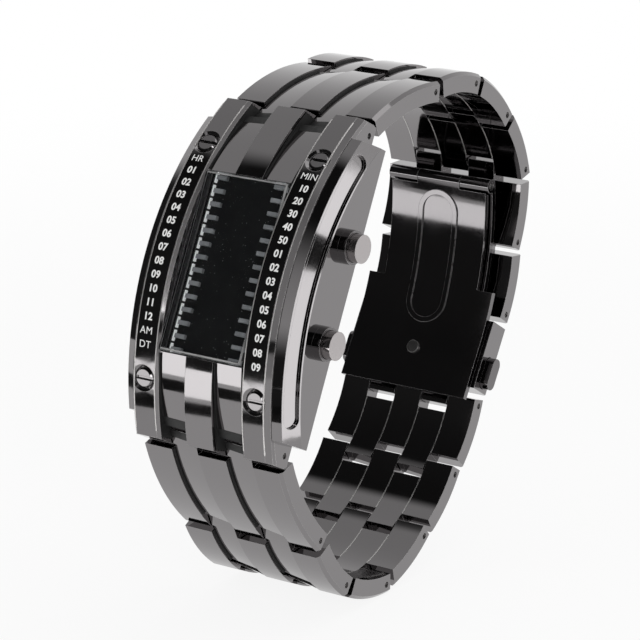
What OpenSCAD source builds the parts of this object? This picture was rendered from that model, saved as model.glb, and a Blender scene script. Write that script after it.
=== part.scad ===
// Bracelet watch with a binary light display.
// Design frame: X across the band toward the push buttons, Y from the dial into
// the loop, Z toward the twelve o'clock end. The finished watch leans back on its
// lower links, with the origin in the middle of the wrist opening.

/* [Stance] */
// Lean of the twelve o'clock end away from the viewer, degrees
stand_lean = 27; // [0:1:45]
// Depth of the wrist opening's middle behind the datum plane
wrist_depth = 31.5; // [28:0.5:36]

/* [Case] */
// Width of the five strips
band_w = 24; // [20:0.5:28]
// Radius of the arched front
front_r = 43.5; // [42:0.5:46]
// Height of the crown of the arch in front of the datum plane
front_rise = 3.5; // [2.5:0.1:5]
// Depth of the flat back behind the datum plane
back_depth = 9; // [8.4:0.1:10]
// Thickness of a number plate
plate_t = 1.5; // [1:0.1:1.8]
// Depth of the step beside the raised middle strip at the window
case_step = 0.45; // [0.4:0.05:0.6]
// Depth of that step at the lugs
lug_step = 1.4; // [1:0.05:1.45]
// Rise of the stepped strips' slanting faces across their width
strip_rise = 0.35; // [0.2:0.05:0.35]
// Bevel on the number plates' long edges at the window
plate_bevel = 0.45; // [0.1:0.05:0.5]
// Bevel on the number plates' long edges at the rails
plate_edge = 0.75; // [0.4:0.05:0.8]
// Distance between the lug pins
lug_span = 47; // [46:0.2:48]
// Distance of the lug pins from the flat back
lug_back = 1.25; // [1.2:0.05:1.6]
// Radius of the lugs' round back corner about their pin
lug_round = 1.8; // [1.7:0.05:1.85]
// Reach of the lugs' square end past their pin
lug_reach = 1.75; // [1.6:0.05:1.75]

/* [Window] */
// Width of the crystal
crystal_w = 14.3; // [12:0.1:14.5]
// Height of the crystal
crystal_h = 26.6; // [26.4:0.05:26.8]
// Thickness of the crystal
crystal_t = 1.6; // [1.2:0.1:2]
// Bevel of the crystal's front edges
crystal_bevel = 0.45; // [0.2:0.05:0.6]
// Distance of the crystal's front face before the datum plane
crystal_rise = 1.8; // [1.4:0.1:2.2]
// Clearance around the crystal
crystal_fit = 0.1; // [0.06:0.01:0.14]
// Thickness of the crystal gasket
gasket_t = 0.3; // [0.2:0.05:0.5]
// Width of the ledge along the crystal's long sides
ledge_w = 0.6; // [0.4:0.05:0.7]
// Width of the ledge along the crystal's short sides
ledge_end = 0.2; // [0.15:0.05:0.25]
// Thickness of the ledge under the crystal
ledge_t = 0.6; // [0.5:0.05:0.8]

/* [Display] */
// Width of the light board
board_w = 17; // [15.6:0.1:17.1]
// Height of the light board
board_h = 26.8; // [26.4:0.1:26.9]
// Thickness of the light board
board_t = 0.8; // [0.6:0.1:1.2]
// Number of light bars in a column
light_rows = 14; // [10:1:14]
// Pitch of the light bars
light_pitch = 1.95; // [1.6:0.01:1.96]
// Width of a light bar
light_w = 1.7; // [1.2:0.1:2]
// Height of a light bar along the column
light_h = 0.62; // [0.4:0.02:0.9]
// Thickness of a light bar
light_t = 0.6; // [0.3:0.05:0.8]
// Distance of a column's middle from the middle of the dial
light_x = 4.95; // [4.4:0.05:5.4]
// Radius of the coin cell
cell_r = 7.9; // [6:0.1:8]
// Thickness of the coin cell
cell_t = 3.2; // [2:0.1:3.4]
// Gap between the light board and the coin cell
cell_gap = 0.3; // [0.2:0.05:0.5]
// Thickness of the cell clip's sheet
clip_t = 0.3; // [0.2:0.05:0.4]
// Width of the cell clip
clip_w = 6; // [4:0.5:8]

/* [Case inside] */
// Width of the module pocket
pocket_w = 17.3; // [17.2:0.1:17.6]
// Height of the module pocket
pocket_h = 27; // [26.95:0.05:27.2]
// Width of the back cover
cover_w = 21; // [19.5:0.1:21.6]
// Height of the back cover
cover_h = 37; // [35:0.1:38]
// Thickness of the back cover
cover_t = 1.3; // [1:0.1:1.5]
// Corner radius of the back cover
cover_r = 3; // [1.5:0.1:4]
// Clearance around the back cover
cover_fit = 0.05; // [0.02:0.01:0.1]

/* [Plate screws] */
// Distance between the screws across the dial
screw_span = 19.4; // [18.6:0.1:20]
// Distance between the screws along the dial
screw_rows = 35.2; // [33:0.2:36]
// Radius of a screw head
screw_head_r = 1.5; // [1.3:0.05:1.6]
// Thickness of a screw head
screw_head_t = 0.7; // [0.6:0.05:0.9]
// Bevel around a screw head
head_bevel = 0.25; // [0.1:0.05:0.3]
// Radius of a screw shank
screw_r = 0.7; // [0.5:0.05:0.8]
// Length of a screw shank below its head
screw_len = 3; // [2:0.1:3.5]
// Width of the driver slot
slot_w = 0.5; // [0.3:0.05:0.7]
// Depth of the driver slot
slot_d = 0.4; // [0.2:0.05:0.5]
// Clearance around a screw head
seat_gap = 0.1; // [0.05:0.05:0.2]
// Radius of the bevelled rim around a screw's seat
rim_r = 2.05; // [1.9:0.05:2.2]
// Depth of the bevelled rim
rim_d = 0.35; // [0.2:0.05:0.5]
// Depth of a screw head under the plate's face
seat_sink = 0.1; // [0.05:0.05:0.2]

/* [Side rails] */
// Width of a side rail
rail_w = 2.5; // [2:0.1:3]
// Step of the rail's ledge below the arched front
rail_step = 0.9; // [0.8:0.05:1.2]
// Width of the rail's ledge
rail_ledge = 1.4; // [1.1:0.05:1.6]
// Fall of the ledge across its width
rail_fall = 0.5; // [0.2:0.05:0.7]
// Depth of the rail's slope
rail_slope = 3; // [2.8:0.1:3.4]
// Distance of the rail's ends from the middle of the dial
rail_end = 22; // [21:0.1:23]
// Width of the long groove along the rail
groove_w = 2.6; // [1.6:0.1:2.6]
// Place of the groove's middle down the slope, as a share of the slope
groove_at = 0.52; // [0.48:0.02:0.54]
// Depth of the long groove
groove_d = 0.5; // [0.2:0.05:0.8]
// Distance of the groove's end rounds from the middle of the dial
groove_end = 18.7; // [15:0.1:19]

/* [Push buttons] */
// Distance of the two buttons from each other
button_span = 14.1; // [12:0.1:16]
// Depth of the buttons' axis behind the datum plane
button_depth = 5.6; // [5.4:0.05:5.8]
// Radius of a button cap
button_r = 2.07; // [1.7:0.01:2.2]
// Distance of the pressed face from the flank
button_reach = 2.7; // [2.2:0.1:3.2]
// Travel of a button
button_travel = 0.7; // [0.4:0.05:0.7]
// Radius of a button stem
stem_r = 0.9; // [0.6:0.05:1]
// Running clearance of caps and stems
button_fit = 0.06; // [0.03:0.01:0.1]
// Radius of a button collar
collar_r = 2.5; // [2.4:0.05:2.6]
// Height of a button collar above the flank
collar_h = 1.3; // [1:0.05:1.4]
// Radius of the collar's shank in the rail
shank_r = 1.7; // [1.6:0.05:1.8]
// Radius of the spring pocket in a collar
pocket_r = 1.35; // [1.25:0.05:1.45]
// Radius of a spring's wire
wire_r = 0.13; // [0.1:0.01:0.16]
// Radius of a retaining clip
ring_r = 1.6; // [1.4:0.05:1.8]
// Thickness of a retaining clip
ring_t = 0.35; // [0.25:0.05:0.4]

/* [Bracelet links] */
// Thickness of a link
link_t = 3; // [2.6:0.1:3.2]
// Distance between the pins of a short link
link_pitch = 11.4; // [10.8:0.1:12]
// Distance between the pins of a long first link
first_pitch = 18; // [16:0.2:20]
// Bow radius of a short link at mid thickness
link_bow = 22.5; // [18:0.5:40]
// Bow radius of a long first link at mid thickness
first_bow = 33.5; // [28:0.5:45]
// Depth of the step beside the raised middle strip of a link
link_step = 0.6; // [0.3:0.05:0.8]
// Bevel along the outer edge of a link
link_bevel = 0.5; // [0.2:0.05:0.8]
// Reach of knuckles and tongues past their pin
knuckle_reach = 1; // [0.8:0.05:1.1]
// Distance of a strip's square end from the neighbour's pin
end_gap = 2.1; // [2.05:0.05:2.4]
// Side clearance between knuckles and tongues
side_gap = 0.08; // [0.05:0.01:0.12]
// Radius of a link pin
pin_r = 0.45; // [0.35:0.01:0.5]
// Depth of a pin's end inside the link's flank
pin_sink = 0.3; // [0.1:0.05:0.6]
// Clearance of a pin in the knuckles that hold it
pin_hold = 0.02; // [0.01:0.005:0.03]
// Running clearance of a tongue on its pin
pin_run = 0.06; // [0.03:0.01:0.1]

/* [Bracelet stance] */
// Height of the clasp between its two end pins
clasp_drop = 15; // [14.4:0.1:16]
// Half the difference between the directions of the two first links, degrees
first_skew = 2; // [0:0.5:4]
// Direction of upper link 2 from the depth axis, degrees
upper_dir_2 = 23; // [19:0.5:27]
// Direction of upper link 3, degrees
upper_dir_3 = -8.5; // [-12.5:0.5:-4.5]
// Direction of upper link 4, degrees
upper_dir_4 = -32; // [-36:0.5:-28]
// Direction of upper link 5, degrees
upper_dir_5 = -73; // [-77:0.5:-69]
// Direction of upper link 6, degrees
upper_dir_6 = -79; // [-83:0.5:-75]
// Direction of lower link 2, as seen upside down, degrees
lower_dir_2 = 26.5; // [22.5:0.5:30.5]
// Direction of lower link 3, degrees
lower_dir_3 = -9; // [-13:0.5:-5]
// Direction of lower link 4, degrees
lower_dir_4 = -50; // [-54:0.5:-46]
// Direction of lower link 5, degrees
lower_dir_5 = -67; // [-71:0.5:-63]
// Direction of lower link 6, degrees
lower_dir_6 = -81; // [-85:0.5:-77]

/* [Clasp] */
// Bow radius of the folding leaf at mid thickness
leaf_bow = 40; // [34:0.5:50]
// Thickness of the folding leaf
leaf_t = 0.9; // [0.7:0.05:1]
// Width of the folding leaf
leaf_w = 18; // [16:0.5:19]
// Inset of the leaf's highest line from the link pins
leaf_inset = 2.3; // [2.2:0.05:2.6]
// Distance of that line from the leaf's end pin
leaf_apex = 6.3; // [5:0.1:7]
// Thickness of the base blade
blade_t = 0.9; // [0.7:0.05:1]
// Gap between leaf and blade when closed
leaf_gap = 0.35; // [0.3:0.05:0.5]
// Width of the base blade beside the leaf
blade_w = 17; // [15:0.5:18]
// Width of the base blade under the cover
blade_foot_w = 22.6; // [20:0.2:23.4]
// Distance from the end pin to where the base blade widens
blade_step = 2; // [1:0.1:3]
// Angle of the leaf hinge from the leaf's highest line, degrees
hinge_angle = 36.5; // [34:0.5:38]
// Radius of the leaf hinge's knuckles
hinge_r = 1.1; // [1.05:0.01:1.2]
// Radius of the leaf hinge's pin
hinge_pin_r = 0.5; // [0.4:0.02:0.55]
// Width of the blade's knuckle in the leaf hinge
hinge_mid_w = 7.6; // [5:0.2:9]
// Radius of the open eye at the leaf's end
eye_r = 1.6; // [1.55:0.01:1.65]
// Clearance of the end pin in the open eye
eye_gap = 0.5; // [0.4:0.02:0.55]
// Length of the catch ears past the leaf's end pin
ear_len = 4.2; // [3.6:0.1:4.4]
// Gap around the catch ears
ear_gap = 0.5; // [0.4:0.05:0.6]
// Width of the outline rib pressed into the base blade
rib_w = 0.8; // [0.5:0.05:1]
// Height of the outline rib
rib_h = 0.25; // [0.15:0.01:0.35]
// Overall width of the rib's outline
rib_span = 7; // [5:0.1:8]
// Angle of the rib's upper end from the highest line, degrees
rib_from = 29; // [24:0.5:31]
// Angle of the rib's lower end from the highest line, degrees
rib_to = 8; // [6:0.5:12]
// Radius of the rivet's head
rivet_r = 1; // [0.7:0.05:1.2]
// Height of the rivet's head
rivet_h = 0.35; // [0.2:0.05:0.5]
// Radius of the rivet's shank
rivet_shank_r = 0.5; // [0.3:0.05:0.6]
// Distance of the rivet from the leaf's end pin
rivet_at = 8.6; // [8:0.1:10]
// Length of a catch button along the band
catch_l = 5; // [4:0.1:5.4]
// Thickness of a catch button
catch_t = 2.2; // [1.8:0.1:2.4]
// Reach of a catch button outside the cover
catch_reach = 1.4; // [1:0.1:1.6]
// Depth of a catch button inside the cover
catch_depth = 2.8; // [2.2:0.1:3]
// Travel of a catch button
catch_travel = 0.8; // [0.5:0.05:0.8]
// Running clearance around a catch button
catch_fit = 0.08; // [0.04:0.01:0.1]
// Radius of the catch spring
catch_spring_r = 0.7; // [0.5:0.05:0.8]

/* [Hidden] */
$fn = 96;

// Overlap that keeps cuts open
cut = 1;
// Length that reaches past the whole watch
far = 120;
// Degrees of arc for one millimetre at a radius
function turn(r) = 180 / (PI * r);

// Play between pieces of one stack
play = 0.05;
// Gap at the end of a spring at its pressed length
spring_gap = 0.1;
// Gap between the coin cell and its clip's legs
clip_gap = 0.2;
// Margin of the back gasket inside its seat
gasket_margin = 0.1;
// Land between the module pocket and the back gasket
gasket_land = 0.3;
// Wall between the case's flank and a button spring
seat_wall = 1;
// Distance of a stem's end inside the module pocket
stem_tail = 1;
// Gap between a retaining clip and the pocket's wall
ring_gap = 0.2;
// Radial clearance around the leaf hinge's knuckles
hinge_swing = 0.3;
// Side clearance of the leaf hinge's knuckles
hinge_side = 0.1;
// Side clearance of the leaf's eyes beyond that of the links
ear_side = 0.1;
// Depth of the rivet's shank in the cover
rivet_root = 0.9;

// Strips and arch
strip_w = band_w / 5;
half_w = band_w / 2;
mid_w = strip_w / 2;
inner_w = strip_w * 1.5;
arch_y = front_r - front_rise;
plate_in = front_r - plate_t;
lug_pin = [back_depth - lug_back, lug_span / 2];
lug_r = norm([arch_y - lug_pin[0], lug_pin[1]]);
lug_angle = atan2(lug_pin[1], arch_y - lug_pin[0]);
screw_angle = asin(screw_rows / 2 / front_r);
lug_tip = lug_pin[1] + lug_reach;
slot_end = lug_angle - end_gap * turn(lug_r);
// Angle of the arch that reaches past the lugs
arch_end = lug_angle + 10;

// Stack behind the crystal
crystal_back = crystal_t - crystal_rise;
ledge_front = crystal_back + gasket_t;
board_front = ledge_front + ledge_t;
board_back = board_front + board_t;
cell_front = board_back + cell_gap;
cell_back = cell_front + cell_t;
cover_front = back_depth - cover_t;
window_w = crystal_w + 2 * crystal_fit;
window_h = crystal_h + 2 * crystal_fit;

// Axis and radius of the stepped strips, through their depths at the window and the lugs
window_end = asin(window_h / 2 / front_r);
dip_1 = [arch_y - (front_r - case_step) * cos(window_end), (front_r - case_step) * sin(window_end)];
dip_2 = [arch_y - (front_r - lug_step) * cos(slot_end), (front_r - lug_step) * sin(slot_end)];
dip_y = (norm(dip_2) * norm(dip_2) - norm(dip_1) * norm(dip_1)) / (2 * (dip_2[0] - dip_1[0]));
dip_r = norm([dip_1[0] - dip_y, dip_1[1]]);

// Push button stack along X
flank_x = half_w + rail_w;
collar_top = flank_x + collar_h;
cap_back = collar_top - play;
well_floor = cap_back - button_travel - play;
spring_seat = half_w + seat_wall;
spring_top = well_floor - spring_gap;
stem_end = pocket_w / 2 - stem_tail;

// Directions of the two first links that close the loop around the clasp
upper_fall = link_pitch * (sin(upper_dir_2) + sin(upper_dir_3) + sin(upper_dir_4)
                           + sin(upper_dir_5) + sin(upper_dir_6));
lower_fall = link_pitch * (sin(lower_dir_2) + sin(lower_dir_3) + sin(lower_dir_4)
                           + sin(lower_dir_5) + sin(lower_dir_6));
first_dir = asin((clasp_drop - lug_span - upper_fall - lower_fall) / (2 * first_pitch * cos(first_skew)));
upper_dir_1 = first_dir + first_skew;
lower_dir_1 = first_dir - first_skew;

// Pins of the two halves of the bracelet, the lower half drawn upside down
function onward(p, len, dir) = [p[0] + len * cos(dir), p[1] + len * sin(dir)];
up_1 = lug_pin;
up_2 = onward(up_1, first_pitch, upper_dir_1);
up_3 = onward(up_2, link_pitch, upper_dir_2);
up_4 = onward(up_3, link_pitch, upper_dir_3);
up_5 = onward(up_4, link_pitch, upper_dir_4);
up_6 = onward(up_5, link_pitch, upper_dir_5);
up_end = onward(up_6, link_pitch, upper_dir_6);
low_1 = lug_pin;
low_2 = onward(low_1, first_pitch, lower_dir_1);
low_3 = onward(low_2, link_pitch, lower_dir_2);
low_4 = onward(low_3, link_pitch, lower_dir_3);
low_5 = onward(low_4, link_pitch, lower_dir_4);
low_6 = onward(low_5, link_pitch, lower_dir_5);
low_end = onward(low_6, link_pitch, lower_dir_6);

// Clasp frame: origin at the upper end pin, Y along the band to the lower end pin
clasp_len = norm([low_end[0] - up_end[0], -low_end[1] - up_end[1]]);
clasp_dir = atan2(-low_end[1] - up_end[1], low_end[0] - up_end[0]);
bow_z = -leaf_inset - leaf_bow;
blade_bow = leaf_bow - leaf_t / 2 - leaf_gap - blade_t / 2;
hinge_bow = (leaf_bow + blade_bow) / 2;
blade_out = bow_z + blade_bow + blade_t / 2;
hinge_y = leaf_apex - hinge_bow * sin(hinge_angle);
hinge_z = bow_z + hinge_bow * cos(hinge_angle);
cover_end = clasp_len - end_gap;
catch_y = (end_gap + ear_len + ear_gap + cover_end) / 2;
catch_z = (blade_out + link_t / 2) / 2;
catch_in = half_w - catch_depth;

// Colours
gun_metal = [0.36, 0.35, 0.36];
dark_metal = [0.22, 0.22, 0.23];
plate_black = [0.1, 0.1, 0.11];
glass_black = [0.08, 0.09, 0.1, 0.6];
light_grey = [0.5, 0.5, 0.52];
rubber = [0.12, 0.12, 0.12];
board_green = [0.05, 0.06, 0.06];
steel = [0.7, 0.7, 0.72];

// Stands the design frame on its lower links
module stand() {
  rotate([-stand_lean, 0, 0])
    translate([0, -wrist_depth, 0])
      children();
}

// Draws a side outline (depth, height) from x0 to x1
module across(x0, x1) {
  rotate([90, 0, 90])
    translate([0, 0, x0])
      linear_extrude(height = x1 - x0)
        children();
}

// Sweeps a profile (radius, x) about an axis along X at (y, z) from angle a0 to a1
module swept(y, z, a0, a1) {
  translate([0, y, z])
    rotate([90, 0, 90])
      rotate([0, 0, a0])
        rotate_extrude(angle = a1 - a0)
          children();
}

// Round bar along X
module bar(x0, x1, y, z, r) {
  translate([x0, y, z])
    rotate([0, 90, 0])
      cylinder(h = x1 - x0, r = r);
}

// Places a piece at a pin, with Y along the band and Z outward
module along(p, dir) {
  translate([0, p[0], p[1]])
    rotate([dir, 0, 0])
      children();
}

// Turns a piece about the arch's axis to an angle from the middle of the dial
module on_arch(a) {
  translate([0, arch_y, 0])
    rotate([-a, 0, 0])
      children();
}

// Turns the lower half of the bracelet the right way up
module lower_half() {
  mirror([0, 0, 1])
    children();
}

// Plate outline with round corners
module round_plate(w, h, r) {
  square([w - 2 * r, h], center = true);
  square([w, h - 2 * r], center = true);
  for (sx = [-1, 1])
    for (sy = [-1, 1])
      translate([sx * (w / 2 - r), sy * (h / 2 - r)])
        circle(r = r);
}

// Flat piece facing the dial's front, between two depths
module facing(y0, y1) {
  translate([0, y1, 0])
    rotate([90, 0, 0])
      linear_extrude(height = y1 - y0)
        children();
}

// Sawtooth section of the five strips, from an inner to an outer radius
module strip_section(r0, r1, step, bevel) {
  polygon([
    [r0, -half_w], [r1, -half_w], [r1, -inner_w], [r1 - step, -inner_w],
    [r1, -mid_w], [r1, mid_w], [r1 - step, mid_w], [r1, inner_w],
    [r1, half_w - bevel], [r1 - bevel, half_w], [r0, half_w]
  ]);
}

// Everything behind the flat back
module behind_back() {
  translate([-far / 2, back_depth, -far / 2])
    cube([far, far, far]);
}

// Everything past two square ends at a distance from the middle of the dial
module past_ends(z) {
  for (s = [-1, 1])
    translate([-far / 2, -far / 2, s > 0 ? z : -z - far])
      cube([far, far, far]);
}

module case_blank() {
  difference() {
    swept(arch_y, 0, 180 - arch_end, 180 + arch_end)
      polygon([
        [front_r / 2, -half_w], [plate_in, -half_w], [plate_in, -inner_w], [front_r, -inner_w],
        [front_r, inner_w], [plate_in, inner_w], [plate_in, half_w], [front_r / 2, half_w]
      ]);
    behind_back();
    past_ends(lug_tip);
  }
}

// Slanting faces of the two strips beside the middle one, deeper toward the lugs
module strip_dips() {
  for (x = [-inner_w - play, mid_w - play])
    swept(dip_y, 0, 180 - arch_end, 180 + arch_end)
      polygon([
        [dip_r, x], [front_r + cut, x], [front_r + cut, x + strip_w + 2 * play],
        [dip_r + strip_rise, x + strip_w + 2 * play]
      ]);
}

// Openings for the tongues of the first links
module lug_slots() {
  for (s = [-1, 1])
    for (x = [-inner_w, mid_w])
      on_arch(s * slot_end)
        translate([x - side_gap, -front_r - cut, s > 0 ? 0 : -far / 4])
          cube([strip_w + 2 * side_gap, front_r, far / 4]);
}

// Round back corners of the lugs about their pins
module lug_corners() {
  for (s = [-1, 1])
    difference() {
      translate([-far / 2, lug_pin[0], s > 0 ? lug_pin[1] : -lug_pin[1] - far / 8])
        cube([far, far / 8, far / 8]);
      bar(-far, far, lug_pin[0], s * lug_pin[1], lug_round);
    }
}

// Bores of the lug pins
module lug_bores() {
  for (s = [-1, 1])
    bar(-half_w - cut, half_w + cut, lug_pin[0], s * lug_pin[1], pin_r + pin_hold);
}

module button_places() {
  for (s = [-1, 1])
    translate([0, button_depth, s * button_span / 2])
      children();
}

module case_body() {
  color(gun_metal)
    stand()
      difference() {
        case_blank();
        strip_dips();
        lug_slots();
        lug_corners();
        facing(-front_rise - cut, ledge_front)
          square([window_w, window_h], center = true);
        facing(-cut, board_front)
          square([window_w - 2 * ledge_w, window_h - 2 * ledge_end], center = true);
        facing(board_front, back_depth + cut)
          square([pocket_w, pocket_h], center = true);
        facing(cover_front - gasket_t, back_depth + cut)
          round_plate(cover_w + 2 * cover_fit, cover_h + 2 * cover_fit, cover_r + cover_fit);
        lug_bores();
        button_places()
          bar(0, half_w + cut, 0, 0, stem_r + button_fit);
        screw_places()
          translate([0, 0, -screw_len - screw_head_t])
            cylinder(h = screw_len, r = screw_r + pin_hold);
      }
}

// The four screw places, each with Z out of the plate's face
module screw_places() {
  for (sx = [-1, 1])
    for (sz = [-1, 1])
      on_arch(sz * screw_angle)
        translate([sx * screw_span / 2, -front_r + seat_sink, 0])
          rotate([90, 0, 0])
            children();
}

// Number plate on one side of the window, with bevelled seats for its screws
module plate_band(side) {
  seat_r = screw_head_r + seat_gap;
  x_in = side * inner_w;
  x_out = side * half_w;
  difference() {
    swept(arch_y, 0, 180 - arch_end, 180 + arch_end)
      polygon([
        [plate_in, x_in], [front_r - plate_bevel, x_in], [front_r, x_in + side * plate_bevel],
        [front_r, x_out - side * plate_edge], [front_r - plate_edge, x_out], [plate_in, x_out]
      ]);
    past_ends(lug_tip);
    screw_places()
      translate([0, 0, -screw_head_t])
        cylinder(h = screw_head_t + cut, r = seat_r);
    screw_places()
      translate([0, 0, seat_sink - rim_d])
        cylinder(h = 2 * rim_d, r1 = seat_r, r2 = 2 * rim_r - seat_r);
    screw_places()
      translate([0, 0, -plate_t - cut])
        cylinder(h = plate_t + cut, r = screw_r + seat_gap);
  }
}

module hour_plate() {
  color(plate_black)
    stand()
      plate_band(-1);
}

module minute_plate() {
  color(plate_black)
    stand()
      plate_band(1);
}

module plate_screws() {
  color(dark_metal)
    stand()
      screw_places()
        difference() {
          union() {
            translate([0, 0, -screw_head_t])
              cylinder(h = screw_head_t - head_bevel, r = screw_head_r);
            translate([0, 0, -head_bevel])
              cylinder(h = head_bevel, r1 = screw_head_r, r2 = screw_head_r - head_bevel);
            translate([0, 0, -screw_head_t - screw_len])
              cylinder(h = screw_len, r = screw_r);
          }
          translate([-screw_head_r - cut, -slot_w / 2, -slot_d])
            cube([2 * (screw_head_r + cut), slot_w, slot_d + cut]);
        }
}

// Rail along one flank: ledge, slope with a long round-ended groove, and flat flank
module side_rail() {
  rail_top = front_r - rail_step;
  slope_top = rail_top - rail_fall;
  slope_w = rail_w - rail_ledge;
  groove_x = half_w + rail_ledge + groove_at * slope_w;
  groove_r = slope_top - groove_at * rail_slope;
  groove_angle = asin(groove_end / groove_r);
  lean = atan2(slope_w, rail_slope);
  difference() {
    swept(arch_y, 0, 180 - arch_end, 180 + arch_end)
      polygon([
        [front_r / 2, half_w], [rail_top, half_w], [slope_top, half_w + rail_ledge],
        [slope_top - rail_slope, flank_x], [front_r / 2, flank_x]
      ]);
    behind_back();
    past_ends(rail_end);
    swept(arch_y, 0, 180 - groove_angle, 180 + groove_angle)
      translate([groove_r, groove_x])
        rotate([0, 0, -lean])
          translate([-groove_w / 2, -groove_d])
            square([groove_w, groove_d + cut]);
    for (s = [-1, 1])
      on_arch(s * groove_angle)
        translate([groove_x, -groove_r, 0])
          rotate([0, 90, 0])
            rotate([lean, 0, 0])
              translate([0, 0, -groove_d])
                cylinder(h = groove_d + cut, r = groove_w / 2);
  }
}

module side_rail_right() {
  color(gun_metal)
    stand()
      difference() {
        side_rail();
        button_places()
          bar(half_w - cut, flank_x + cut, 0, 0, shank_r + pin_hold);
      }
}

module side_rail_left() {
  color(gun_metal)
    stand()
      mirror([1, 0, 0])
        side_rail();
}

module crystal() {
  w = crystal_w / 2;
  h = crystal_h / 2;
  b = crystal_bevel;
  color(glass_black)
    stand()
      intersection() {
        translate([0, 0, -h])
          linear_extrude(height = crystal_h)
            polygon([
              [-w, crystal_back], [-w, b - crystal_rise], [b - w, -crystal_rise],
              [w - b, -crystal_rise], [w, b - crystal_rise], [w, crystal_back]
            ]);
        across(-w, w)
          polygon([
            [crystal_back, -h], [b - crystal_rise, -h], [-crystal_rise, b - h],
            [-crystal_rise, h - b], [b - crystal_rise, h], [crystal_back, h]
          ]);
      }
}

module crystal_gasket() {
  color(rubber)
    stand()
      facing(crystal_back, ledge_front)
        difference() {
          square([crystal_w, crystal_h], center = true);
          square([window_w - 2 * ledge_w, window_h - 2 * ledge_end], center = true);
        }
}

module light_board() {
  color(board_green)
    stand()
      facing(board_front, board_back)
        square([board_w, board_h], center = true);
}

module light_column(side) {
  for (k = [0:light_rows - 1])
    translate([side * light_x, 0, (k - (light_rows - 1) / 2) * light_pitch])
      facing(board_front - light_t, board_front)
        square([light_w, light_h], center = true);
}

module hour_lights() {
  color(light_grey)
    stand()
      light_column(-1);
}

module minute_lights() {
  color(light_grey)
    stand()
      light_column(1);
}

module coin_cell() {
  color(steel)
    stand()
      facing(cell_front, cell_back)
        circle(r = cell_r);
}

// Sheet bridge that holds the coin cell against the light board
module cell_clip() {
  leg_x = cell_r + clip_gap;
  color(steel)
    stand()
      translate([0, 0, -clip_w / 2])
        linear_extrude(height = clip_w)
          difference() {
            translate([-leg_x - clip_t, board_back])
              square([2 * (leg_x + clip_t), cell_back + clip_t - board_back]);
            translate([-leg_x, board_back - cut])
              square([2 * leg_x, cell_back - board_back + cut]);
          }
}

module back_cover() {
  color(gun_metal)
    stand()
      facing(cover_front, back_depth)
        round_plate(cover_w, cover_h, cover_r);
}

module back_gasket() {
  color(rubber)
    stand()
      facing(cover_front - gasket_t, cover_front)
        difference() {
          round_plate(cover_w - 2 * gasket_margin, cover_h - 2 * gasket_margin, cover_r);
          square([pocket_w + 2 * gasket_land, pocket_h + 2 * gasket_land], center = true);
        }
}

// Places a push button piece with its axis along X
module at_button(s) {
  stand()
    translate([0, button_depth, s * button_span / 2])
      children();
}

module button_collar() {
  difference() {
    union() {
      bar(half_w, flank_x, 0, 0, shank_r);
      bar(flank_x, collar_top, 0, 0, collar_r);
    }
    bar(half_w - cut, flank_x, 0, 0, stem_r + button_fit);
    bar(spring_seat, collar_top, 0, 0, pocket_r);
    bar(well_floor, collar_top + cut, 0, 0, button_r + button_fit);
  }
}

// Return spring, drawn as a ribbed sleeve at its pressed length
module button_spring() {
  mid_r = (pocket_r + stem_r + button_fit) / 2;
  ribs = 4;
  rib_pitch = (spring_top - spring_seat) / ribs;
  translate([spring_seat, 0, 0])
    rotate([0, 90, 0])
      rotate_extrude() {
        translate([mid_r - wire_r, 0])
          square([wire_r, spring_top - spring_seat]);
        for (k = [0:ribs - 1])
          translate([mid_r - wire_r / 2, (k + 0.25) * rib_pitch])
            square([wire_r, rib_pitch / 2]);
      }
}

module button_form() {
  bar(cap_back, flank_x + button_reach, 0, 0, button_r);
  bar(stem_end, cap_back, 0, 0, stem_r);
}

// Open ring behind the case wall that keeps the button in
module button_ring() {
  ring_x = pocket_w / 2 - ring_gap - ring_t;
  difference() {
    bar(ring_x, ring_x + ring_t, 0, 0, ring_r);
    bar(ring_x - cut, ring_x + ring_t + cut, 0, 0, stem_r);
    translate([ring_x - cut, -stem_r / 2, 0])
      cube([ring_t + 2 * cut, stem_r, ring_r + cut]);
  }
}

module collar_upper() {
  color(dark_metal)
    at_button(1)
      button_collar();
}

module collar_lower() {
  color(dark_metal)
    at_button(-1)
      button_collar();
}

module button_spring_upper() {
  color(steel)
    at_button(1)
      button_spring();
}

module button_spring_lower() {
  color(steel)
    at_button(-1)
      button_spring();
}

module button_upper() {
  color(gun_metal)
    at_button(1)
      button_form();
}

module button_lower() {
  color(gun_metal)
    at_button(-1)
      button_form();
}

module button_clip_upper() {
  color(steel)
    at_button(1)
      button_ring();
}

module button_clip_lower() {
  color(steel)
    at_button(-1)
      button_ring();
}

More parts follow.
